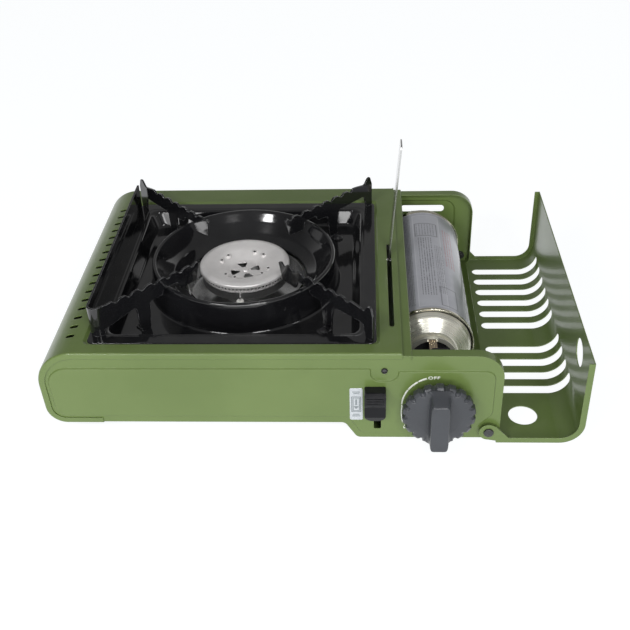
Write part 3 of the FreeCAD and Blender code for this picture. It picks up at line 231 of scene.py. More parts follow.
def useGroup(tree, key, **values):
    node = tree.nodes.new("ShaderNodeGroup")
    node.node_tree = groups[key]
    for label, value in values.items():
        socket = node.inputs[label.replace("_", " ")]
        if isinstance(value, tuple):
            socket.default_value = value if len(value) != 3 or socket.type == "VECTOR" else (*value, 1)
        elif isinstance(value, (int, float)):
            socket.default_value = value
        else:
            tree.links.new(value, socket)
    return node


def newMaterial(name):
    material = bpy.data.materials.new(name)
    material.use_nodes = True
    tree = material.node_tree
    shader = tree.nodes["Principled BSDF"]
    coords = tree.nodes.new("ShaderNodeTexCoord").outputs["Object"]
    return material, tree, shader, coords


def addBump(tree, shader, height, strength, distance, rounding=0.0):
    bump = tree.nodes.new("ShaderNodeBump")
    bump.inputs["Strength"].default_value = strength
    bump.inputs["Distance"].default_value = distance
    tree.links.new(height, bump.inputs["Height"])
    if rounding > 0:
        bevel = tree.nodes.new("ShaderNodeBevel")
        bevel.samples = 6
        bevel.inputs["Radius"].default_value = rounding
        tree.links.new(bevel.outputs["Normal"], bump.inputs["Normal"])
    tree.links.new(bump.outputs["Normal"], shader.inputs["Normal"])


def coatedMaterial(name, look):
    # powder coat, enamel, rubber and moulded plastic: grain, painted highlights on the edges and a little dust
    material, tree, shader, coords = newMaterial(name)
    grain = useGroup(tree, "grain", Vector=coords, Light=look["light"], Dark=look["dark"], Broad_Scale=look["broad"],
                     Peel_Scale=look["peel"], Smooth=look["smooth"], Rough=look["rough"])
    # painted highlight: edges lightened towards the highlight colour, broken up by noise
    edgeShine = useGroup(tree, "edgeShine", Vector=coords, Color=grain.outputs["Color"], Bare=look["bare"],
                    Width=look["highlightWidth"], Amount=look["edgeShine"])
    dust = useGroup(tree, "dust", Vector=coords, Color=edgeShine.outputs["Color"], Amount=look["dust"])
    tree.links.new(dust.outputs["Color"], shader.inputs["Base Color"])
    tree.links.new(grain.outputs["Roughness"], shader.inputs["Roughness"])
    shader.inputs["Specular IOR Level"].default_value = look["specular"]
    shader.inputs["Coat Weight"].default_value = look["coat"]
    shader.inputs["Coat Roughness"].default_value = look["coatRough"]
    addBump(tree, shader, grain.outputs["Height"], look["bump"], 0.0002, look["round"])
    return material


def burnerHoleShade(tree, x, y, z, reach, holeShade):
    # painted shade: dark where a point lies in an eye of the cap or in a port, whose insides lie in shade; distance to
    # the nearest eye in polar terms
    angle = addMath(tree, "SUBTRACT", addMath(tree, "ARCTAN2", y, x), holeShade["turn"] - math.pi / 4)
    swing = addMath(tree, "SUBTRACT", addMath(tree, "FLOORED_MODULO", angle, math.pi / 2), math.pi / 4)
    swing = addMath(tree, "SUBTRACT", addMath(tree, "ABSOLUTE", swing), holeShade["swing"])
    across = addMath(tree, "MULTIPLY", swing, reach)
    away = addMath(tree, "SUBTRACT", reach, holeShade["reach"])
    gap = addMath(tree, "SQRT", addMath(tree, "ADD", addMath(tree, "MULTIPLY", across, across),
                                        addMath(tree, "MULTIPLY", away, away)))
    eyes = addRange(tree, gap, holeShade["eye"], holeShade["eye"] * 1.2, 1.0, 0.0)
    port = addMath(tree, "LESS_THAN", reach, holeShade["wall"])
    port = addMath(tree, "MULTIPLY", port, addMath(tree, "GREATER_THAN", z, holeShade["low"]))
    port = addMath(tree, "MULTIPLY", port, addMath(tree, "LESS_THAN", z, holeShade["high"]))
    port = addMath(tree, "MULTIPLY", port, addMath(tree, "GREATER_THAN", reach, holeShade["inner"]))
    return addMath(tree, "MAXIMUM", eyes, port)


def metalMaterial(name, look):
    # bare metal: brushed or rolled lines, along one direction or round a centre
    material, tree, shader, coords = newMaterial(name)
    if "centre" in look:
        shift = tree.nodes.new("ShaderNodeMapping")
        shift.inputs["Location"].default_value = tuple(-c for c in look["centre"])
        tree.links.new(coords, shift.inputs["Vector"])
        x, y, z = addSplit(tree, shift.outputs["Vector"])
        pair = (x, y) if look["around"] == "Z" else (x, z)
        square = [addMath(tree, "MULTIPLY", axis, axis) for axis in pair]
        reach = addMath(tree, "SQRT", addMath(tree, "ADD", *square))
        joined = tree.nodes.new("ShaderNodeCombineXYZ")
        tree.links.new(reach, joined.inputs[0])
        vector = joined.outputs[0]
    else:
        stretch = tree.nodes.new("ShaderNodeMapping")
        stretch.inputs["Scale"].default_value = look["stretch"]
        tree.links.new(coords, stretch.inputs["Vector"])
        vector = stretch.outputs["Vector"]
    brush = useGroup(tree, "brush", Vector=vector, Scale=look["scale"], Smooth=look["smooth"], Rough=look["rough"])
    blotch = addRange(tree, addNoise(tree, coords, look["broad"], 4.0), 0.3, 0.7)
    tint = addMix(tree, blotch, look["light"], look["dark"])
    tint = addMix(tree, addMath(tree, "MULTIPLY", brush.outputs["Value"], look["lines"]), tint, look["lineColor"])
    # painted shade in the cap's eyes and in the burner ports
    if "holeShade" in look:
        tint = addMix(tree, burnerHoleShade(tree, x, y, z, reach, look["holeShade"]), tint, look["holeShade"]["color"])
    tree.links.new(tint, shader.inputs["Base Color"])
    tree.links.new(brush.outputs["Roughness"], shader.inputs["Roughness"])
    shader.inputs["Metallic"].default_value = look["metal"]
    addBump(tree, shader, brush.outputs["Height"], look["bump"], 0.0001, look["round"])
    return material


# each finish's highlight colour, width and amount paint a highlight on its edges
coatLooks = {
    "green_paint": {"light": (0.137, 0.198, 0.056), "dark": (0.118, 0.175, 0.046), "broad": 14.0, "peel": 1400.0,
                    "smooth": 0.30, "rough": 0.36, "bare": (0.26, 0.33, 0.15), "highlightWidth": 0.0005, "edgeShine": 0.5,
                    "dust": 0.04, "specular": 0.5, "coat": 0.25, "coatRough": 0.12, "bump": 0.10, "round": 0.0006},
    "black_enamel": {"light": (0.0095, 0.0098, 0.011), "dark": (0.006, 0.006, 0.007), "broad": 22.0, "peel": 260.0,
                     "smooth": 0.07, "rough": 0.12, "bare": (0.30, 0.30, 0.31), "highlightWidth": 0.0005, "edgeShine": 0.9,
                     "dust": 0.02, "specular": 0.6, "coat": 0.5, "coatRough": 0.05, "bump": 0.05, "round": 0.0005},
    "knob_plastic": {"light": (0.050, 0.054, 0.062), "dark": (0.042, 0.045, 0.052), "broad": 40.0, "peel": 3000.0,
                     "smooth": 0.30, "rough": 0.38, "bare": (0.12, 0.12, 0.13), "highlightWidth": 0.0005, "edgeShine": 0.4,
                     "dust": 0.03, "specular": 0.5, "coat": 0.0, "coatRough": 0.3, "bump": 0.12, "round": 0.0006},
    "black_plastic": {"light": (0.012, 0.012, 0.014), "dark": (0.009, 0.009, 0.011), "broad": 40.0, "peel": 3000.0,
                      "smooth": 0.15, "rough": 0.23, "bare": (0.10, 0.10, 0.105), "highlightWidth": 0.0005, "edgeShine": 0.4,
                      "dust": 0.02, "specular": 0.16, "coat": 0.0, "coatRough": 0.3, "bump": 0.12, "round": 0.0006},
    "black_rubber": {"light": (0.020, 0.020, 0.021), "dark": (0.014, 0.014, 0.015), "broad": 60.0, "peel": 2500.0,
                     "smooth": 0.6, "rough": 0.75, "bare": (0.06, 0.06, 0.06), "highlightWidth": 0.0006, "edgeShine": 0.3,
                     "dust": 0.10, "specular": 0.4, "coat": 0.0, "coatRough": 0.3, "bump": 0.2, "round": 0.0006},
    "white_plastic": {"light": (0.72, 0.71, 0.67), "dark": (0.66, 0.65, 0.6), "broad": 60.0, "peel": 2000.0,
                      "smooth": 0.25, "rough": 0.35, "bare": (0.8, 0.8, 0.78), "highlightWidth": 0.0004, "edgeShine": 0.1,
                      "dust": 0.05, "specular": 0.5, "coat": 0.0, "coatRough": 0.3, "bump": 0.05, "round": 0.0004},
    "white_ceramic": {"light": (0.80, 0.79, 0.75), "dark": (0.70, 0.68, 0.62), "broad": 120.0, "peel": 900.0,
                      "smooth": 0.12, "rough": 0.22, "bare": (0.6, 0.57, 0.5), "highlightWidth": 0.0003, "edgeShine": 0.3,
                      "dust": 0.05, "specular": 0.5, "coat": 0.4, "coatRough": 0.08, "bump": 0.04, "round": 0.0003},
    "wire_cover": {"light": (0.33, 0.035, 0.028), "dark": (0.25, 0.025, 0.02), "broad": 60.0, "peel": 2000.0,
                   "smooth": 0.4, "rough": 0.5, "bare": (0.4, 0.1, 0.08), "highlightWidth": 0.0003, "edgeShine": 0.1,
                   "dust": 0.05, "specular": 0.4, "coat": 0.0, "coatRough": 0.3, "bump": 0.05, "round": 0.0002},
    "dark_screw": {"light": (0.025, 0.025, 0.027), "dark": (0.016, 0.016, 0.018), "broad": 200.0, "peel": 1500.0,
                   "smooth": 0.28, "rough": 0.4, "bare": (0.2, 0.2, 0.2), "highlightWidth": 0.0003, "edgeShine": 0.6,
                   "dust": 0.03, "specular": 0.7, "coat": 0.0, "coatRough": 0.3, "bump": 0.1, "round": 0.0003},
    "dark_valve": {"light": (0.03, 0.03, 0.032), "dark": (0.02, 0.02, 0.022), "broad": 80.0, "peel": 1500.0,
                   "smooth": 0.35, "rough": 0.45, "bare": (0.08, 0.08, 0.08), "highlightWidth": 0.0003, "edgeShine": 0.2,
                   "dust": 0.03, "specular": 0.5, "coat": 0.0, "coatRough": 0.3, "bump": 0.08, "round": 0.0003},
}
burnerMiddle = (-0.05804, 0.0044, 0.0)
canMiddle = (0.09046, 0.0, 0.040)
metalLooks = {
    "plain_steel": {"light": (0.50, 0.50, 0.49), "dark": (0.42, 0.42, 0.41), "broad": 60.0, "stretch": (40, 400, 400),
                    "scale": 1.0, "smooth": 0.28, "rough": 0.42, "lines": 0.3, "lineColor": (0.6, 0.6, 0.6),
                    "metal": 1.0, "bump": 0.1, "round": 0.0004},
    "bright_steel": {"light": (0.72, 0.72, 0.71), "dark": (0.62, 0.62, 0.62), "broad": 40.0, "stretch": (300, 300, 30),
                     "scale": 1.0, "smooth": 0.12, "rough": 0.24, "lines": 0.3, "lineColor": (0.8, 0.8, 0.8),
                     "metal": 1.0, "bump": 0.06, "round": 0.0003},
    "aluminium": {"light": (0.78, 0.78, 0.79), "dark": (0.68, 0.68, 0.69), "broad": 40.0, "stretch": (30, 300, 300),
                  "scale": 1.0, "smooth": 0.2, "rough": 0.32, "lines": 0.3, "lineColor": (0.85, 0.85, 0.85),
                  "metal": 1.0, "bump": 0.06, "round": 0.0003},
    "cast_aluminium": {"light": (0.56, 0.56, 0.56), "dark": (0.44, 0.44, 0.44), "broad": 120.0,
                       "stretch": (700, 700, 700), "scale": 1.0, "smooth": 0.38, "rough": 0.52, "lines": 0.4,
                       "lineColor": (0.5, 0.5, 0.5), "metal": 1.0, "bump": 0.35, "round": 0.0005},
    "burner_steel": {"light": (0.86, 0.84, 0.83), "dark": (0.76, 0.74, 0.73), "broad": 70.0, "centre": burnerMiddle,
                     "around": "Z", "scale": 1300.0, "smooth": 0.32, "rough": 0.44, "lines": 0.45,
                     "lineColor": (0.90, 0.88, 0.87), "metal": 0.4, "bump": 0.12, "round": 0.0004,
                     # painted shade in the cap's eyes and in the ports: where it falls and its colour
                     "holeShade": {"turn": math.radians(60), "swing": math.radians(12.5), "reach": 0.0205, "eye": 0.00092,
                              "inner": 0.0288, "wall": 0.0344, "low": 0.0779, "high": 0.0805,
                              "color": (0.02, 0.018, 0.017)}},
    "brass": {"light": (0.70, 0.50, 0.20), "dark": (0.58, 0.40, 0.15), "broad": 100.0, "stretch": (60, 900, 900),
              "scale": 1.0, "smooth": 0.2, "rough": 0.32, "lines": 0.3, "lineColor": (0.8, 0.6, 0.3),
              "metal": 1.0, "bump": 0.1, "round": 0.0003},
    "yellow_zinc": {"light": (0.60, 0.47, 0.30), "dark": (0.50, 0.42, 0.34), "broad": 160.0, "stretch": (300, 60, 300),
                    "scale": 1.0, "smooth": 0.2, "rough": 0.32, "lines": 0.4, "lineColor": (0.7, 0.6, 0.45),
                    "metal": 1.0, "bump": 0.08, "round": 0.0003},
    "canister_tin": {"light": (0.90, 0.89, 0.80), "dark": (0.82, 0.80, 0.69), "broad": 50.0, "centre": canMiddle,
                     "around": "Y", "scale": 700.0, "smooth": 0.24, "rough": 0.34, "lines": 0.25,
                     "lineColor": (0.92, 0.90, 0.80), "metal": 0.75, "bump": 0.05, "round": 0.0003},
}
materials = {name: coatedMaterial(name, look) for name, look in coatLooks.items()}
materials.update({name: metalMaterial(name, look) for name, look in metalLooks.items()})
print("stage 3:", len(materials), "materials")

# Surface helpers: every shape below is worked out as whole arrays in millimetres


def roundedPath(corners, steps=8, closed=False):
    # straight runs through (u, v, radius) corners, each corner replaced by its tangent arc
    points = np.array([corner[:2] for corner in corners], float)
    pieces = []
    for index, (u, v, radius) in enumerate(corners):
        here = points[index]
        inner = closed or 0 < index < len(corners) - 1
        if radius <= 0 or not inner:
            pieces.append(here[None])
            continue
        into = points[index - 1] - here
        away = points[(index + 1) % len(corners)] - here
        into, away = into / np.linalg.norm(into), away / np.linalg.norm(away)
        half = math.acos(np.clip(into @ away, -1, 1)) / 2
        centre = here + (into + away) / np.linalg.norm(into + away) * radius / math.sin(half)
        start = here + into * radius / math.tan(half) - centre
        sweep = math.pi - 2 * half
        side = np.sign(start[0] * (here - centre)[1] - start[1] * (here - centre)[0])
        angle = side * np.linspace(0, sweep, steps + 1)
        turned = np.stack([start[0] * np.cos(angle) - start[1] * np.sin(angle),
                           start[0] * np.sin(angle) + start[1] * np.cos(angle)], 1)
        pieces.append(centre + turned)
    path = np.concatenate(pieces)
    return np.concatenate([path, path[:1]]) if closed else path


def densePath(path, step):
    # the same path with points added so that no run is longer than the step
    runs = np.linalg.norm(np.diff(path, axis=0), axis=1)
    along = np.concatenate([[0], np.cumsum(runs)])
    counts = np.maximum(np.ceil(runs / step).astype(int), 1)
    stops = np.concatenate([np.linspace(along[i], along[i + 1], n, endpoint=False) for i, n in enumerate(counts)]
                           + [along[-1:]])
    return np.stack([np.interp(stops, along, path[:, axis]) for axis in (0, 1)], 1)


def gridPiece(name, points, slotName, body, uv=None, sharp=40.0, finish=None):
    # a closed mesh from a grid of points in the panel frame; coinciding rows and poles are merged
    # finish names the material where it isn't the slot's own
    rows, columns = points.shape[:2]
    places = ((points - middle) * mm).reshape(-1, 3)
    row, column = np.meshgrid(np.arange(rows - 1), np.arange(columns - 1), indexing="ij")
    first = (row * columns + column).ravel()
    faces = np.stack([first, first + 1, first + columns + 1, first + columns], 1)
    mesh = bpy.data.meshes.new(name)
    mesh.from_pydata(places.tolist(), [], faces.tolist())
    if uv is not None:
        layer = mesh.uv_layers.new(name="surface")
        layer.data.foreach_set("uv", uv.reshape(-1, 2)[faces.ravel()].ravel())
    work = bmesh.new()
    work.from_mesh(mesh)
    bmesh.ops.remove_doubles(work, verts=work.verts, dist=2e-7)
    bmesh.ops.dissolve_degenerate(work, edges=work.edges, dist=1e-8)
    bmesh.ops.recalc_face_normals(work, faces=work.faces)
    if work.calc_volume(signed=True) < 0:
        bmesh.ops.reverse_faces(work, faces=work.faces)
    work.to_mesh(mesh)
    work.free()
    mesh.shade_smooth()
    mesh.set_sharp_from_angle(angle=math.radians(sharp))
    mesh.materials.append(materials[finish or slotName])
    piece = bpy.data.objects.new(name, mesh)
    bpy.context.scene.collection.objects.link(piece)
    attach(piece, body)
    return piece


def turnedGrid(profile, centre, upright, count):
    # each profile point (r, h) goes round the axis: centre + h along it + r (cos a, sin a)
    angle = np.linspace(0, 2 * np.pi, count + 1)
    r, h = profile[:, 0][:, None], profile[:, 1][:, None]
    across, other, along = r * np.cos(angle), r * np.sin(angle), h + 0 * angle
    points = np.stack([across, other, along] if upright else [across, along, other], 2)
    return points + np.array(centre)


def squareReach(angle, half, corner):
    # distance from the middle of a rounded square to its edge, in the direction of the angle
    x, y = np.abs(np.cos(angle)), np.abs(np.sin(angle))
    big, small = np.maximum(x, y), np.minimum(x, y)
    side = half / big
    inset = half - corner
    dot = inset * (big + small)
    rounded = dot + np.sqrt(np.maximum(dot ** 2 - 2 * inset ** 2 + corner ** 2, 0))
    return np.where(side * small <= inset, side, rounded)


def rectPlate(name, plate, slotName, body, finish):
    # rings of a rounded rectangle from its middle to its edge, the last ones turned back to the panel
    centre, size, crown = plate["centre"], plate["size"], plate["crown"]
    halfX, halfZ = size[0] / 2, size[1] / 2
    signs = ((-1, -1), (1, -1), (1, 1), (-1, 1))
    outline = densePath(roundedPath([(a * halfX, b * halfZ, plate["corner"]) for a, b in signs], 8, True), 1.0)
    share = np.array([0, 0.3, 0.6, 0.8, 0.9, 0.96, 0.985, 1.0, 1.0, 0.5, 0])
    thick = plate["back"] - plate["front"]
    depth = np.array([0, 0, 0, 0, 0, 0, crown * 0.3, crown, thick, thick, thick]) + plate["front"]
    x = centre[0] + share[:, None] * outline[:, 0]
    z = centre[1] + share[:, None] * outline[:, 1]
    points = np.stack([x, depth[:, None] + 0 * x, z], 2)
    uv = np.stack([(x - centre[0]) / size[0] + 0.5, (z - centre[1]) / size[1] + 0.5], 2)
    return gridPiece(name, points, slotName, body, uv, finish=finish)


# Printed canister and foil plate

leverPlate = {"centre": (234.4, 35.2), "size": (9.6, 29.9), "corner": 1.3, "front": -0.62, "back": -0.2, "crown": 0.15,
              "rings": ((3.3, 7.0), (2.3, 5.9)), "middle": (4.8, 15.0),
              # height of each mark's middle, then half its width and half its height
              "marks": ((17.0, 0.55, 2.6), (12.8, 1.5, 0.35), (12.0, 1.0, 0.35), (11.2, 0.4, 0.3), (26.6, 2.6, 0.25),
                        (25.2, 1.9, 0.25), (5.4, 2.2, 0.25), (3.8, 2.8, 0.25))}
# the label in millimetres: across runs round the can, along runs from its front
canLabel = {"size": (207.3, 157.0), "panel": ((49.5, 78.0), (11.5, 71.0)), "printed": ((103.6, 78.5), (120.0, 74.6)),
            # middle, half size, pitch, fill, ink, strength
            "lines": (((52.0, 66.0), (6.5, 44.0), 2.1, 0.36, "ink", 0.75),
                      ((40.5, 62.0), (3.2, 36.0), 1.5, 0.4, "ink", 0.6),
                      ((70.0, 78.0), (6.0, 68.0), 1.3, 0.45, "ink", 0.65),
                      ((50.0, 124.0), (8.0, 9.0), 2.4, 0.3, "ink", 0.55),
                      ((30.0, 100.0), (4.5, 30.0), 2.6, 0.4, "accent", 0.55)),
            "frames": (((50.0, 124.0), (9.5, 10.5), "ink", 0.6), ((36.0, 22.0), (7.0, 13.0), "ink", 0.55)),
            "dots": {"across": 74.5, "along": (12.0, 52.0, 104.0), "half": (1.0, 1.4)}}
printColors = {"silver": (0.50, 0.51, 0.56), "silverDark": (0.45, 0.46, 0.51), "ink": (0.10, 0.10, 0.12),
               "accent": (0.45, 0.06, 0.08), "light": (0.72, 0.73, 0.77), "tin": (0.74, 0.71, 0.58)}


def boxMaskGroup():
    # rounded box: 1 inside, 0 outside, by the distance of the point to the box, softened over a hair
    group, into, out = newGroup("boxMask", [
        ("Vector", "Vector", (0, 0, 0)), ("Centre", "Vector", (0, 0, 0)), ("Half", "Vector", (1, 1, 0)),
        ("Round", "Float", 0.3), ("Soft", "Float", 0.15)], [("Mask", "Float"), ("Frame", "Float")])
    nodes = group.nodes

    def vectorStep(operation, first, second=None):
        node = nodes.new("ShaderNodeVectorMath")
        node.operation = operation
        for socket, value in zip(node.inputs, (first, second)):
            if isinstance(value, tuple):
                socket.default_value = value
            elif value is not None:
                group.links.new(value, socket)
        return node
    away = vectorStep("SUBTRACT", into.outputs["Vector"], into.outputs["Centre"]).outputs[0]
    flat = vectorStep("MULTIPLY", away, (1, 1, 0)).outputs[0]
    over = vectorStep("SUBTRACT", vectorStep("ABSOLUTE", flat).outputs[0], into.outputs["Half"]).outputs[0]
    outside = vectorStep("LENGTH", vectorStep("MAXIMUM", over, (0, 0, 0)).outputs[0]).outputs["Value"]
    distance = addMath(group, "SUBTRACT", outside, into.outputs["Round"])
    inside = addRange(group, distance, into.outputs["Soft"], 0.0)
    group.links.new(inside, out.inputs["Mask"])
    x, y, z = addSplit(group, over)
    edge = addMath(group, "ABSOLUTE", addMath(group, "MAXIMUM", x, y))
    ring = addRange(group, edge, addMath(group, "MULTIPLY", into.outputs["Soft"], 2.0), into.outputs["Soft"])
    group.links.new(addMath(group, "MULTIPLY", ring, inside), out.inputs["Frame"])
    return group


def textLinesGroup():
    # rows of short bars: a comb across, broken up along the row by noise, kept inside a box
    group, into, out = newGroup("textLines", [
        ("Vector", "Vector", (0, 0, 0)), ("Centre", "Vector", (0, 0, 0)), ("Half", "Vector", (1, 1, 0)),
        ("Pitch", "Float", 2.0), ("Fill", "Float", 0.3)], [("Mask", "Float")])
    box = group.nodes.new("ShaderNodeGroup")
    box.node_tree = groups["box"]
    for label in ("Vector", "Centre", "Half"):
        group.links.new(into.outputs[label], box.inputs[label])
    x, y, z = addSplit(group, into.outputs["Vector"])
    turnCount = addMath(group, "DIVIDE", x, into.outputs["Pitch"])
    comb = addMath(group, "LESS_THAN", addMath(group, "FRACT", turnCount), into.outputs["Fill"])
    row = addMath(group, "MULTIPLY", addMath(group, "FLOOR", turnCount), 13.7)
    joined = group.nodes.new("ShaderNodeCombineXYZ")
    group.links.new(row, joined.inputs[0])
    group.links.new(addMath(group, "MULTIPLY", y, 1.4), joined.inputs[1])
    dashes = addRange(group, addNoise(group, joined.outputs[0], 1.0, 2.0, 0.6), 0.44, 0.5)
    lines = addMath(group, "MULTIPLY", comb, dashes)
    group.links.new(addMath(group, "MULTIPLY", lines, box.outputs["Mask"]), out.inputs["Mask"])
    return group


groups["box"] = boxMaskGroup()
groups["lines"] = textLinesGroup()


def surfaceVector(tree, size):
    # the piece's own UV map, stretched to millimetres
    layer = tree.nodes.new("ShaderNodeUVMap")
    layer.uv_map = "surface"
    scale = tree.nodes.new("ShaderNodeMapping")
    scale.inputs["Scale"].default_value = (*size, 1)
    tree.links.new(layer.outputs[0], scale.inputs["Vector"])
    return scale.outputs["Vector"]


def boxMask(tree, vector, centre, half, **values):
    return useGroup(tree, "box", Vector=vector, Centre=(*centre, 0), Half=(*half, 0), **values).outputs


def canisterPrint(label):
    # the label is read in millimetres round and along the can; angle 90 degrees is its top
    material, tree, shader, coords = newMaterial("canister_print")
    vector = surfaceVector(tree, label["size"])
    blotch = addRange(tree, addNoise(tree, coords, 90.0, 3.0), 0.3, 0.7)
    color = addMix(tree, blotch, printColors["silver"], printColors["silverDark"])
    panel = boxMask(tree, vector, *label["panel"], Soft=0.25)
    color = addMix(tree, addMath(tree, "MULTIPLY", panel["Mask"], 0.25), color, printColors["light"])
    color = addMix(tree, addMath(tree, "MULTIPLY", panel["Frame"], 0.5), color, printColors["light"])
    for centre, half, pitch, fill, ink, strength in label["lines"]:
        block = useGroup(tree, "lines", Vector=vector, Centre=(*centre, 0), Half=(*half, 0), Pitch=pitch, Fill=fill)
        color = addMix(tree, addMath(tree, "MULTIPLY", block.outputs["Mask"], strength), color, printColors[ink])
    for centre, half, ink, strength in label["frames"]:
        frameBox = boxMask(tree, vector, centre, half, Soft=0.35)
        color = addMix(tree, addMath(tree, "MULTIPLY", frameBox["Frame"], strength), color, printColors[ink])
    dots = label["dots"]
    for along in dots["along"]:
        mark = boxMask(tree, vector, (dots["across"], along), dots["half"])
        color = addMix(tree, mark["Mask"], color, printColors["accent"])
    printed = boxMask(tree, vector, *label["printed"], Soft=0.4)["Mask"]
    color = addMix(tree, printed, printColors["tin"], color)
    tree.links.new(color, shader.inputs["Base Color"])
    tree.links.new(addRange(tree, printed, 0, 1, 1.0, 0.30), shader.inputs["Metallic"])
    tree.links.new(addRange(tree, printed, 0, 1, 0.18, 0.33), shader.inputs["Roughness"])
    shader.inputs["Coat Weight"].default_value = 0.4
    shader.inputs["Coat Roughness"].default_value = 0.15
    addBump(tree, shader, addNoise(tree, coords, 160.0, 2.0), 0.04, 0.0005)
    return material


def foilPrint(plate):
    # generic plate beside the lever: two bar fields and a framed arrow pointing down
    material, tree, shader, coords = newMaterial("foil_plate")
    vector = surfaceVector(tree, plate["size"])
    blotch = addRange(tree, addNoise(tree, coords, 500.0, 2.0), 0.3, 0.7)
    color = addMix(tree, blotch, (0.60, 0.63, 0.66), (0.52, 0.55, 0.58))
    for half in plate["rings"]:
        ring = boxMask(tree, vector, plate["middle"], half, Soft=0.22)
        color = addMix(tree, addMath(tree, "MULTIPLY", ring["Frame"], 0.85), color, (0.16, 0.19, 0.20))
    for high, halfWide, halfHigh in plate["marks"]:
        mark = boxMask(tree, vector, (plate["middle"][0], high), (halfWide, halfHigh), Round=0.12, Soft=0.12)
        color = addMix(tree, addMath(tree, "MULTIPLY", mark["Mask"], 0.8), color, (0.18, 0.21, 0.22))
    tree.links.new(color, shader.inputs["Base Color"])
    shader.inputs["Metallic"].default_value = 0.35
    tree.links.new(addRange(tree, blotch, 0, 1, 0.26, 0.34), shader.inputs["Roughness"])
    addBump(tree, shader, addNoise(tree, coords, 900.0, 2.0), 0.05, 0.0001)
    return material


def printMaterial():
    # thin white print, a little worn through
    material, tree, shader, coords = newMaterial("white_print")
    worn = addRange(tree, addNoise(tree, coords, 1500.0, 3.0), 0.35, 0.65)
    tree.links.new(addMix(tree, worn, (0.80, 0.82, 0.78), (0.68, 0.71, 0.64)), shader.inputs["Base Color"])
    tree.links.new(addRange(tree, worn, 0, 1, 0.4, 0.55), shader.inputs["Roughness"])
    return material


materials["canister_print"] = canisterPrint(canLabel)
materials["foil_plate"] = foilPrint(leverPlate)
materials["white_print"] = printMaterial()

for piece in frame["nodes"].values():
    for holder in piece.material_slots:
        holder.material = materials[holder.material.name.split(".")[0]]
print("stage 4: finishes on the packed nodes")

# Gas canister shell

canShell = {"x": 292.0, "z": 40.0, "radius": 33.0, "rim": 1.0, "front": 65.5, "rear": 222.5}


def makeCanister(can):
    # closed profile of radius against Y: outer wall between two seamed rims, dished rear end, inner wall
    r, s, f, b = can["radius"], can["rim"], can["front"], can["rear"]
    corners = [(r - 0.5, f, 0), (r + s, f, 0.5), (r + s, f + 2.6, 0.9), (r, f + 3.5, 0.4), (r, b - 3.5, 0.4),
               (r + s, b - 2.6, 0.9), (r + s, b, 0.6), (r - 1.4, b, 0.6), (r - 2.2, b - 4, 0.8), (0, b - 7.9, 0),
               (0, b - 8.6, 0), (r - 2.8, b - 4.9, 0.5), (r - 0.5, b - 4.9, 0.3), (r - 0.5, f, 0)]
    profile = densePath(roundedPath(corners, 6), 4.0)
    points = turnedGrid(profile, (can["x"], 0, can["z"]), False, 128)
    angle = np.linspace(0, 1, 129)
    along = (profile[:, 1] - f) / (b - f)
    uv = np.stack(np.broadcast_arrays(angle[None, :], along[:, None]), 2)
    piece = gridPiece("canisterShell", points, "canister_print", "canister", uv)
    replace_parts(piece, "canister_can")


makeCanister(canShell)

# Drip pan

dripPan = {"x": 143.5, "y": 119.7, "half": 106.0, "inner": 93.4, "low": 88.4, "top": 80.25, "floor": 66.8,
           "rim": 73.0, "rimTop": 95.4, "hole": 49.6, "sheet": 0.8,
           "dimple": (173.2, 53.0), "dimpleReach": 4.2, "dimpleHeight": 1.1}


def makeDripPan(pan):
    # rings of size s: a rounded square outside that turns into a circle across the flat floor
    outer, inner, low, top, floor = pan["half"], pan["inner"], pan["low"], pan["top"], pan["floor"]
    rim = pan["rim"]
    corners = [(outer, top - 0.8, 0), (outer, top, 0.72), (inner + 3.6, top, 1.2), (inner + 2.8, top - 0.25, 1.0),
               (inner, top - 0.25, 2.2), (low, floor, 3.0), (rim + 3.4, floor, 2.2), (rim + 0.2, pan["rimTop"], 1.9),
               (rim - 7.5, pan["rimTop"] - 10.9, 7), (rim - 14.5, floor + 8.7, 6), (pan["hole"], floor + 3.7, 1.5),
               (pan["hole"], floor + 0.7, 0)]
    profile = densePath(roundedPath(corners, 8), 2.0)
    size, height = profile[:, 0][:, None], profile[:, 1][:, None]
    quarter = np.concatenate([np.linspace(-45, -41, 8, endpoint=False), np.linspace(-41, 41, 30, endpoint=False),
                              np.linspace(41, 45, 8, endpoint=False)])
    angle = np.radians(np.concatenate([quarter + 90 * k for k in range(4)] + [[315.0]]))
    corner = np.interp(size, [84, inner, inner + 4, outer], [8.0, 8.2, 7.0, 5.0])
    square = squareReach(angle[None, :], size, corner)
    circle = np.clip((low - 3.5 - size) / 6.0, 0, 1)
    circle = circle * circle * (3 - 2 * circle)
    reach = square * (1 - circle) + size * circle
    x, y = pan["x"] + reach * np.cos(angle), pan["y"] + reach * np.sin(angle)
    z = height + 0 * x
    upper = np.stack([x, y, z], 2)
    slope = np.gradient(profile, axis=0)
    normal = np.stack([slope[:, 1], -slope[:, 0]], 1) / np.linalg.norm(slope, axis=1)[:, None]
    down = pan["sheet"] * normal
    lowerReach = reach - down[:, :1]
    lower = np.stack([pan["x"] + lowerReach * np.cos(angle), pan["y"] + lowerReach * np.sin(angle),
                      z - down[:, 1:]], 2)
    points = np.concatenate([upper, lower[::-1], upper[:1]])
    piece = gridPiece("dripPan", points, "black_enamel", "pan")
    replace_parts(piece, "drip_pan")
    # shallow dimple pressed up from the floor: a bell curve on a small disc
    ring = np.linspace(0, 1, 14)
    turn = np.linspace(0, 2 * np.pi, 41)
    bell = pan["dimpleHeight"] * np.cos(ring * np.pi / 2) ** 2 - 0.06 * (ring > 0.99)
    x = pan["dimple"][0] + pan["dimpleReach"] * ring[:, None] * np.cos(turn)
    y = pan["dimple"][1] + 0.75 * pan["dimpleReach"] * ring[:, None] * np.sin(turn)
    cap = np.stack([x, y, floor + bell[:, None] + 0 * x], 2)
    base = cap[::-1] * [1, 1, 0] + [0, 0, floor - 0.3]
    gridPiece("panDimple", np.concatenate([cap, base]), "black_enamel", "pan")


makeDripPan(dripPan)

# Dial knob

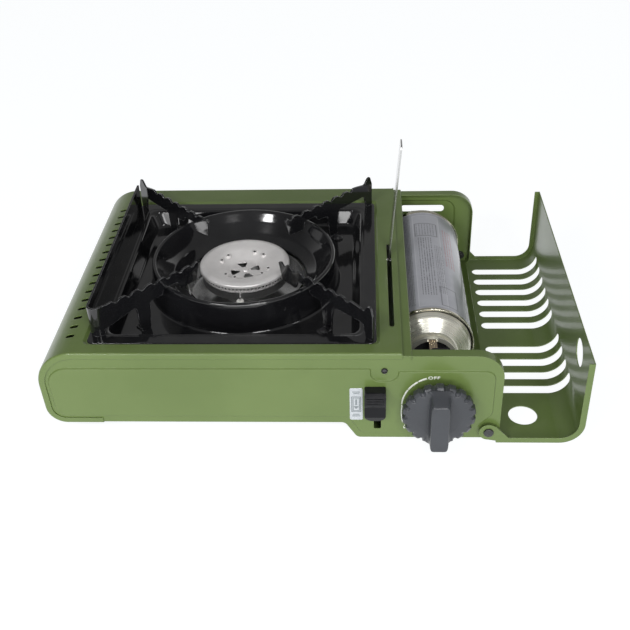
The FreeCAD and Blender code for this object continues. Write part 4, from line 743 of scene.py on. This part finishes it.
dialKnob = {"x": 294.0, "z": 34.4, "radius": 26.5, "hub": 15.0, "back": -1.3, "step": -6.3, "skirt": -13.8,
            "face": -15.6, "front": -26.5, "scallops": 18, "scallopDepth": 2.1, "gripHalf": (6.6, 22.5),
            "gripTop": 18.8, "padHalf": (10.0, 24.8), "squareness": 0.24,
            # height of each ring of the grip as a share of its whole, and how far the ring is rolled in
            "level": (0, 0.06, 0.14, 0.3, 0.5, 0.7, 0.86, 0.93, 0.97, 0.99, 1.0, 1.0, 1.0),
            "roll": (0, 0, 0, 0, 0, 0, 0, 0.05, 0.2, 0.5, 1.1, 3.0, 99.0)}


def makeKnob(dial):
    # skirt: radius(angle) = rim radius less a cosine scallop, faded out towards the middle of the face
    angle = np.linspace(0, 2 * np.pi, dial["scallops"] * 16 + 1)
    wave = np.clip(np.cos(dial["scallops"] * angle), 0, 1) ** 0.8
    r = dial["radius"]
    corners = [(0, dial["back"], 0), (dial["hub"], dial["back"], 0.8), (dial["hub"], dial["step"], 0.8),
               (r - 1.2, dial["step"], 0.6), (r, dial["step"] - 1.2, 0.6), (r, dial["skirt"] + 1.4, 1.6),
               (r - 2.4, dial["skirt"] - 0.6, 1.8), (16.0, dial["face"], 5), (0, dial["face"], 0)]
    profile = densePath(roundedPath(corners, 6), 1.6)
    size, depth = profile[:, 0][:, None], profile[:, 1][:, None]
    fade = np.clip((size - (r - 6)) / 4, 0, 1)
    reach = size - dial["scallopDepth"] * wave[None, :] * fade
    points = np.stack([dial["x"] + reach * np.cos(angle), depth + 0 * reach, dial["z"] + reach * np.sin(angle)], 2)
    skirt = gridPiece("knobSkirt", points, "black_plastic", "knob_group", finish="knob_plastic")
    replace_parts(skirt, "knob")
    # grip: rounded rectangles shrinking from the pad on the face to the front, the front edge rolled over
    level, roll = np.array(dial["level"]), np.array(dial["roll"])
    (padWide, padLong), (gripWide, gripLong), gripTop = dial["padHalf"], dial["gripHalf"], dial["gripTop"]
    wide = np.interp(level, [0, 0.14, 0.3, 1], [padWide, gripWide + 1.2, gripWide + 0.4, gripWide])
    long = np.interp(level, [0, 0.3, 1], [padLong, gripLong + 1.6, gripLong])
    longTop = np.interp(level, [0, 0.3, 1], [padLong, gripTop + 4.0, gripTop])
    wide, long, longTop = (np.maximum(size - roll, 0) for size in (wide, long, longTop))
    depth = dial["face"] + 1.5 + (dial["front"] - dial["face"] - 1.5) * level
    turn = np.linspace(0, 2 * np.pi, 193)
    power = dial["squareness"]
    x = np.sign(np.cos(turn)) * np.abs(np.cos(turn)) ** power
    z = np.sign(np.sin(turn)) * np.abs(np.sin(turn)) ** power
    points = np.stack([dial["x"] + wide[:, None] * x, depth[:, None] + 0 * x,
                       dial["z"] + np.where(z > 0, longTop[:, None], long[:, None]) * z], 2)
    back = points[:1] * [0, 1, 0] + [dial["x"], 0, dial["z"]]
    grip = np.concatenate([back, points])
    gridPiece("knobGrip", grip, "black_plastic", "knob_group", sharp=50.0, finish="knob_plastic")


makeKnob(dialKnob)

# Screws with a cross recess

screwHeads = {"radius": 2.4, "height": 1.9, "cross": 1.55, "width": 0.42, "depth": 0.9,
              "panelPlace": (254.8, 0.85, 65.4), "hingePlace": (332.0, 10.5), "hingeEnds": (-3.45, 255.45)}
hingeHeads = dict(screwHeads, radius=3.7, height=1.6, cross=2.1)


def makeScrew(name, x, y, z, outward, head):
    # dome over a polar grid, lowered where the point lies inside either bar of the cross
    ring = np.concatenate([np.linspace(0, 0.7, 22), np.linspace(0.74, 1, 8)])[:, None]
    turn = np.linspace(0, 2 * np.pi, 97)[None, :]
    u, v = head["radius"] * ring * np.cos(turn), head["radius"] * ring * np.sin(turn)
    dome = head["height"] * np.sqrt(np.clip(1 - (ring * 0.985) ** 2.6, 0, 1)) + 0 * turn

    def bar(across, along):
        inside = np.clip((head["width"] - np.abs(across)) / 0.18 + 0.5, 0, 1)
        return inside * np.clip((head["cross"] - np.abs(along)) / 0.4 + 0.5, 0, 1)
    dome = dome - head["depth"] * np.maximum(bar(u, v), bar(v, u))
    top = np.stack([x + u, y + outward * dome, z + v], 2)
    base = np.stack([x + u, y + 0 * u, z + v], 2)[::-1]
    return gridPiece(name, np.concatenate([top, base]), "dark_screw", "stove")


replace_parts(makeScrew("panelScrewHead", *screwHeads["panelPlace"], -1, screwHeads), "panel_screw")
for label, y, outward in zip(("Front", "Rear"), hingeHeads["hingeEnds"], (-1, 1)):
    makeScrew("hingeScrew" + label, hingeHeads["hingePlace"][0], y, hingeHeads["hingePlace"][1], outward, hingeHeads)
print("stage 5: canister, pan, knob and screws")

# Print on the panel

dialPrint = {"x": 294.0, "z": 34.4, "panel": -0.3, "lift": 0.05,
             "stretches": ((110, 124), (125.5, 146), (147.5, 178), (179.5, 213)), "radius": (26.3, 30.6),
             "widening": (182, 33, 1.4), "halfWidth": ((112, 206), (0.78, 0.34)),
             "word": (290.3, 59.6), "wordHeight": 2.5, "wordStretch": 1.25, "capitalShare": 0.70,
             "wordSpacing": 1.15, "wordThick": 0.06, "wordWeight": 0.10, "flame": (270.2, 13.8), "flameSize": 4.0}


def makeDialPrint(dial):
    # ribbons along arcs round the knob: their width falls from the first to the last, and the last runs outwards
    front, back = dial["panel"] - dial["lift"], dial["panel"] + 0.1
    section = np.array([(-1, back), (-1, front + 0.02), (-0.96, front), (0.96, front), (1, front + 0.02), (1, back),
                        (-1, back)])
    outwardStart, outwardRun, outwardPower = dial["widening"]
    for number, (start, end) in enumerate(dial["stretches"]):
        angle = np.radians(np.linspace(start, end, 40))
        thin = np.interp(np.degrees(angle), *dial["halfWidth"])
        outward = np.clip((np.degrees(angle) - outwardStart) / outwardRun, 0, 1) ** outwardPower
        radius = dial["radius"][0] + (dial["radius"][1] - dial["radius"][0]) * outward
        reach = radius[:, None] + thin[:, None] * section[:, 0]
        points = np.stack([dial["x"] + reach * np.cos(angle)[:, None], section[:, 1] + 0 * reach,
                           dial["z"] + reach * np.sin(angle)[:, None]], 2)
        ends = [tip.mean(axis=1, keepdims=True) + 0 * tip for tip in (points[:1], points[-1:])]
        ribbon = np.concatenate([ends[0], points, ends[1]])
        gridPiece("dialArc%d" % (number + 1), ribbon, "white_plastic", "stove", finish="white_print")
    # flame mark: the outline of a drop, pointed at its top, leaning a little
    turn = np.linspace(0, 2 * np.pi, 49)
    size = dial["flameSize"] / 2
    dropX = 0.62 * size * np.sin(turn) * np.sin(turn / 2) ** 1.3
    dropZ = size * np.cos(turn)
    share = np.array([0.5, 0.5, 0.54, 0.96, 1.0, 1.0, 0.5])
    depth = np.array([back, front + 0.02, front, front, front + 0.02, back, back])
    x = dial["flame"][0] + share[:, None] * (dropX + 0.12 * dropZ)
    z = dial["flame"][1] + share[:, None] * dropZ
    points = np.stack([x, depth[:, None] + 0 * x, z], 2)
    gridPiece("flameMark", points, "white_plastic", "stove", finish="white_print")


def makeOffWord(dial):
    # the word as a thin solid text, made a mesh and stood upright on the panel
    curve = bpy.data.curves.new("offWord", "FONT")
    curve.body = "OFF"
    curve.align_x = "CENTER"
    curve.align_y = "CENTER"
    curve.size = dial["wordHeight"] / dial["capitalShare"] * mm
    curve.space_character = dial["wordSpacing"]
    curve.extrude = dial["wordThick"] * mm
    curve.offset = dial["wordWeight"] * mm
    holder = bpy.data.objects.new("offWordCurve", curve)
    bpy.context.scene.collection.objects.link(holder)
    bpy.context.view_layer.update()
    mesh = bpy.data.meshes.new_from_object(holder.evaluated_get(bpy.context.evaluated_depsgraph_get()))
    bpy.data.objects.remove(holder)
    place = (np.array([dial["word"][0], dial["panel"], dial["word"][1]]) - middle) * mm
    stretch = Matrix.Diagonal((dial["wordStretch"], 1, 1, 1))
    mesh.transform(Matrix.Translation(Vector(place)) @ Matrix.Rotation(math.radians(90), 4, "X") @ stretch)
    mesh.materials.clear()
    mesh.materials.append(materials["white_print"])
    word = bpy.data.objects.new("offWord", mesh)
    bpy.context.scene.collection.objects.link(word)
    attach(word, "stove")


makeDialPrint(dialPrint)
makeOffWord(dialPrint)
rectPlate("leverPlate", leverPlate, "aluminium", "stove", "foil_plate")
print("stage 6: panel print")

# Studio

studio = {"floorHalf": 4.0, "paper": (0.86, 0.87, 0.88), "glow": 0.75, "glowColor": (0.985, 1.0, 1.01),
          "glowStrength": 1.2, "ambient": (0.2, 0.6), "glossy": (0.75, 0.22), "leftShade": 0.5,
          "horizon": (0.05, 0.5), "front": (0.2, 0.9), "left": (-0.9, -0.2), "lamps": [
    # place, size, watts
    ((-0.65, -1.02, 1.00), (0.46, 0.17), 5.0),
    ((0.36, -1.10, 1.00), (0.46, 0.17), 5.0),
    ((0.10, -1.80, 0.40), (1.6, 0.5), 13.0)]}


def makeFloor(half):
    # paper that glows white to the camera and in reflections, and keeps a part of its own shade
    mesh = bpy.data.meshes.new("studioFloor")
    mesh.from_pydata([(-half, -half, 0), (half, -half, 0), (half, half, 0), (-half, half, 0)], [], [(0, 1, 2, 3)])
    material = bpy.data.materials.new("floorPaper")
    material.use_nodes = True
    tree = material.node_tree
    shader = tree.nodes["Principled BSDF"]
    shader.inputs["Base Color"].default_value = (*studio["paper"], 1)
    shader.inputs["Roughness"].default_value = 0.7
    shader.inputs["Specular IOR Level"].default_value = 0.1
    glow = tree.nodes.new("ShaderNodeEmission")
    glow.inputs["Color"].default_value = (*studio["glowColor"], 1)
    glow.inputs["Strength"].default_value = studio["glowStrength"]
    path = tree.nodes.new("ShaderNodeLightPath")
    seen = addMath(tree, "MAXIMUM", path.outputs["Is Camera Ray"], path.outputs["Is Glossy Ray"])
    seen = addMath(tree, "MAXIMUM", seen, path.outputs["Is Transmission Ray"])
    mix = tree.nodes.new("ShaderNodeMixShader")
    tree.links.new(addMath(tree, "MULTIPLY", seen, studio["glow"]), mix.inputs[0])
    tree.links.new(shader.outputs[0], mix.inputs[1])
    tree.links.new(glow.outputs[0], mix.inputs[2])
    tree.links.new(mix.outputs[0], tree.nodes["Material Output"].inputs["Surface"])
    mesh.materials.append(material)
    floor = bpy.data.objects.new("studioFloor", mesh)
    bpy.context.scene.collection.objects.link(floor)


def makeLamps(lamps):
    # two round soft lamps overhead and one wide lamp in front, all aimed at the stove
    for number, (place, size, watts) in enumerate(lamps):
        data = bpy.data.lights.new("softbox%d" % (number + 1), "AREA")
        data.shape = "ELLIPSE" if number < 2 else "RECTANGLE"
        data.size, data.size_y = size
        data.energy = watts
        lamp = bpy.data.objects.new(data.name, data)
        bpy.context.scene.collection.objects.link(lamp)
        aim = Vector((0, 0, 0.05)) - Vector(place)
        lamp.matrix_world = Matrix.Translation(place) @ aim.to_track_quat("-Z", "Y").to_matrix().to_4x4()


def makeWorld(ambient, shine):
    # white to the camera, darker overhead in reflections, brighter from the front in soft light
    world = bpy.data.worlds.new("studio")
    world.use_nodes = True
    bpy.context.scene.world = world
    tree = world.node_tree
    ground = tree.nodes["Background"]
    path = tree.nodes.new("ShaderNodeLightPath")
    seen = addMath(tree, "MAXIMUM", path.outputs["Is Camera Ray"], path.outputs["Is Transmission Ray"])
    x, y, z = addSplit(tree, tree.nodes.new("ShaderNodeTexCoord").outputs["Generated"])
    glossy = addRange(tree, z, *studio["horizon"], *shine)
    glossy = addMath(tree, "MULTIPLY", glossy, addRange(tree, x, *studio["left"], studio["leftShade"], 1.0))
    forward = addMath(tree, "MULTIPLY", y, -1.0)
    front = addRange(tree, forward, *studio["front"], ambient[0], ambient[0] + ambient[1])
    level = addMath(tree, "ADD", addMath(tree, "MULTIPLY", path.outputs["Is Glossy Ray"], glossy),
                    addMath(tree, "MULTIPLY", addMath(tree, "SUBTRACT", 1.0, path.outputs["Is Glossy Ray"]), front))
    level = addMath(tree, "MAXIMUM", level, seen)
    ground.inputs["Color"].default_value = (1, 1, 1, 1)
    tree.links.new(level, ground.inputs["Strength"])


makeFloor(studio["floorHalf"])
makeLamps(studio["lamps"])
makeWorld(studio["ambient"], studio["glossy"])
bpy.context.scene.view_settings.view_transform = "Standard"
print("stage 7: studio")
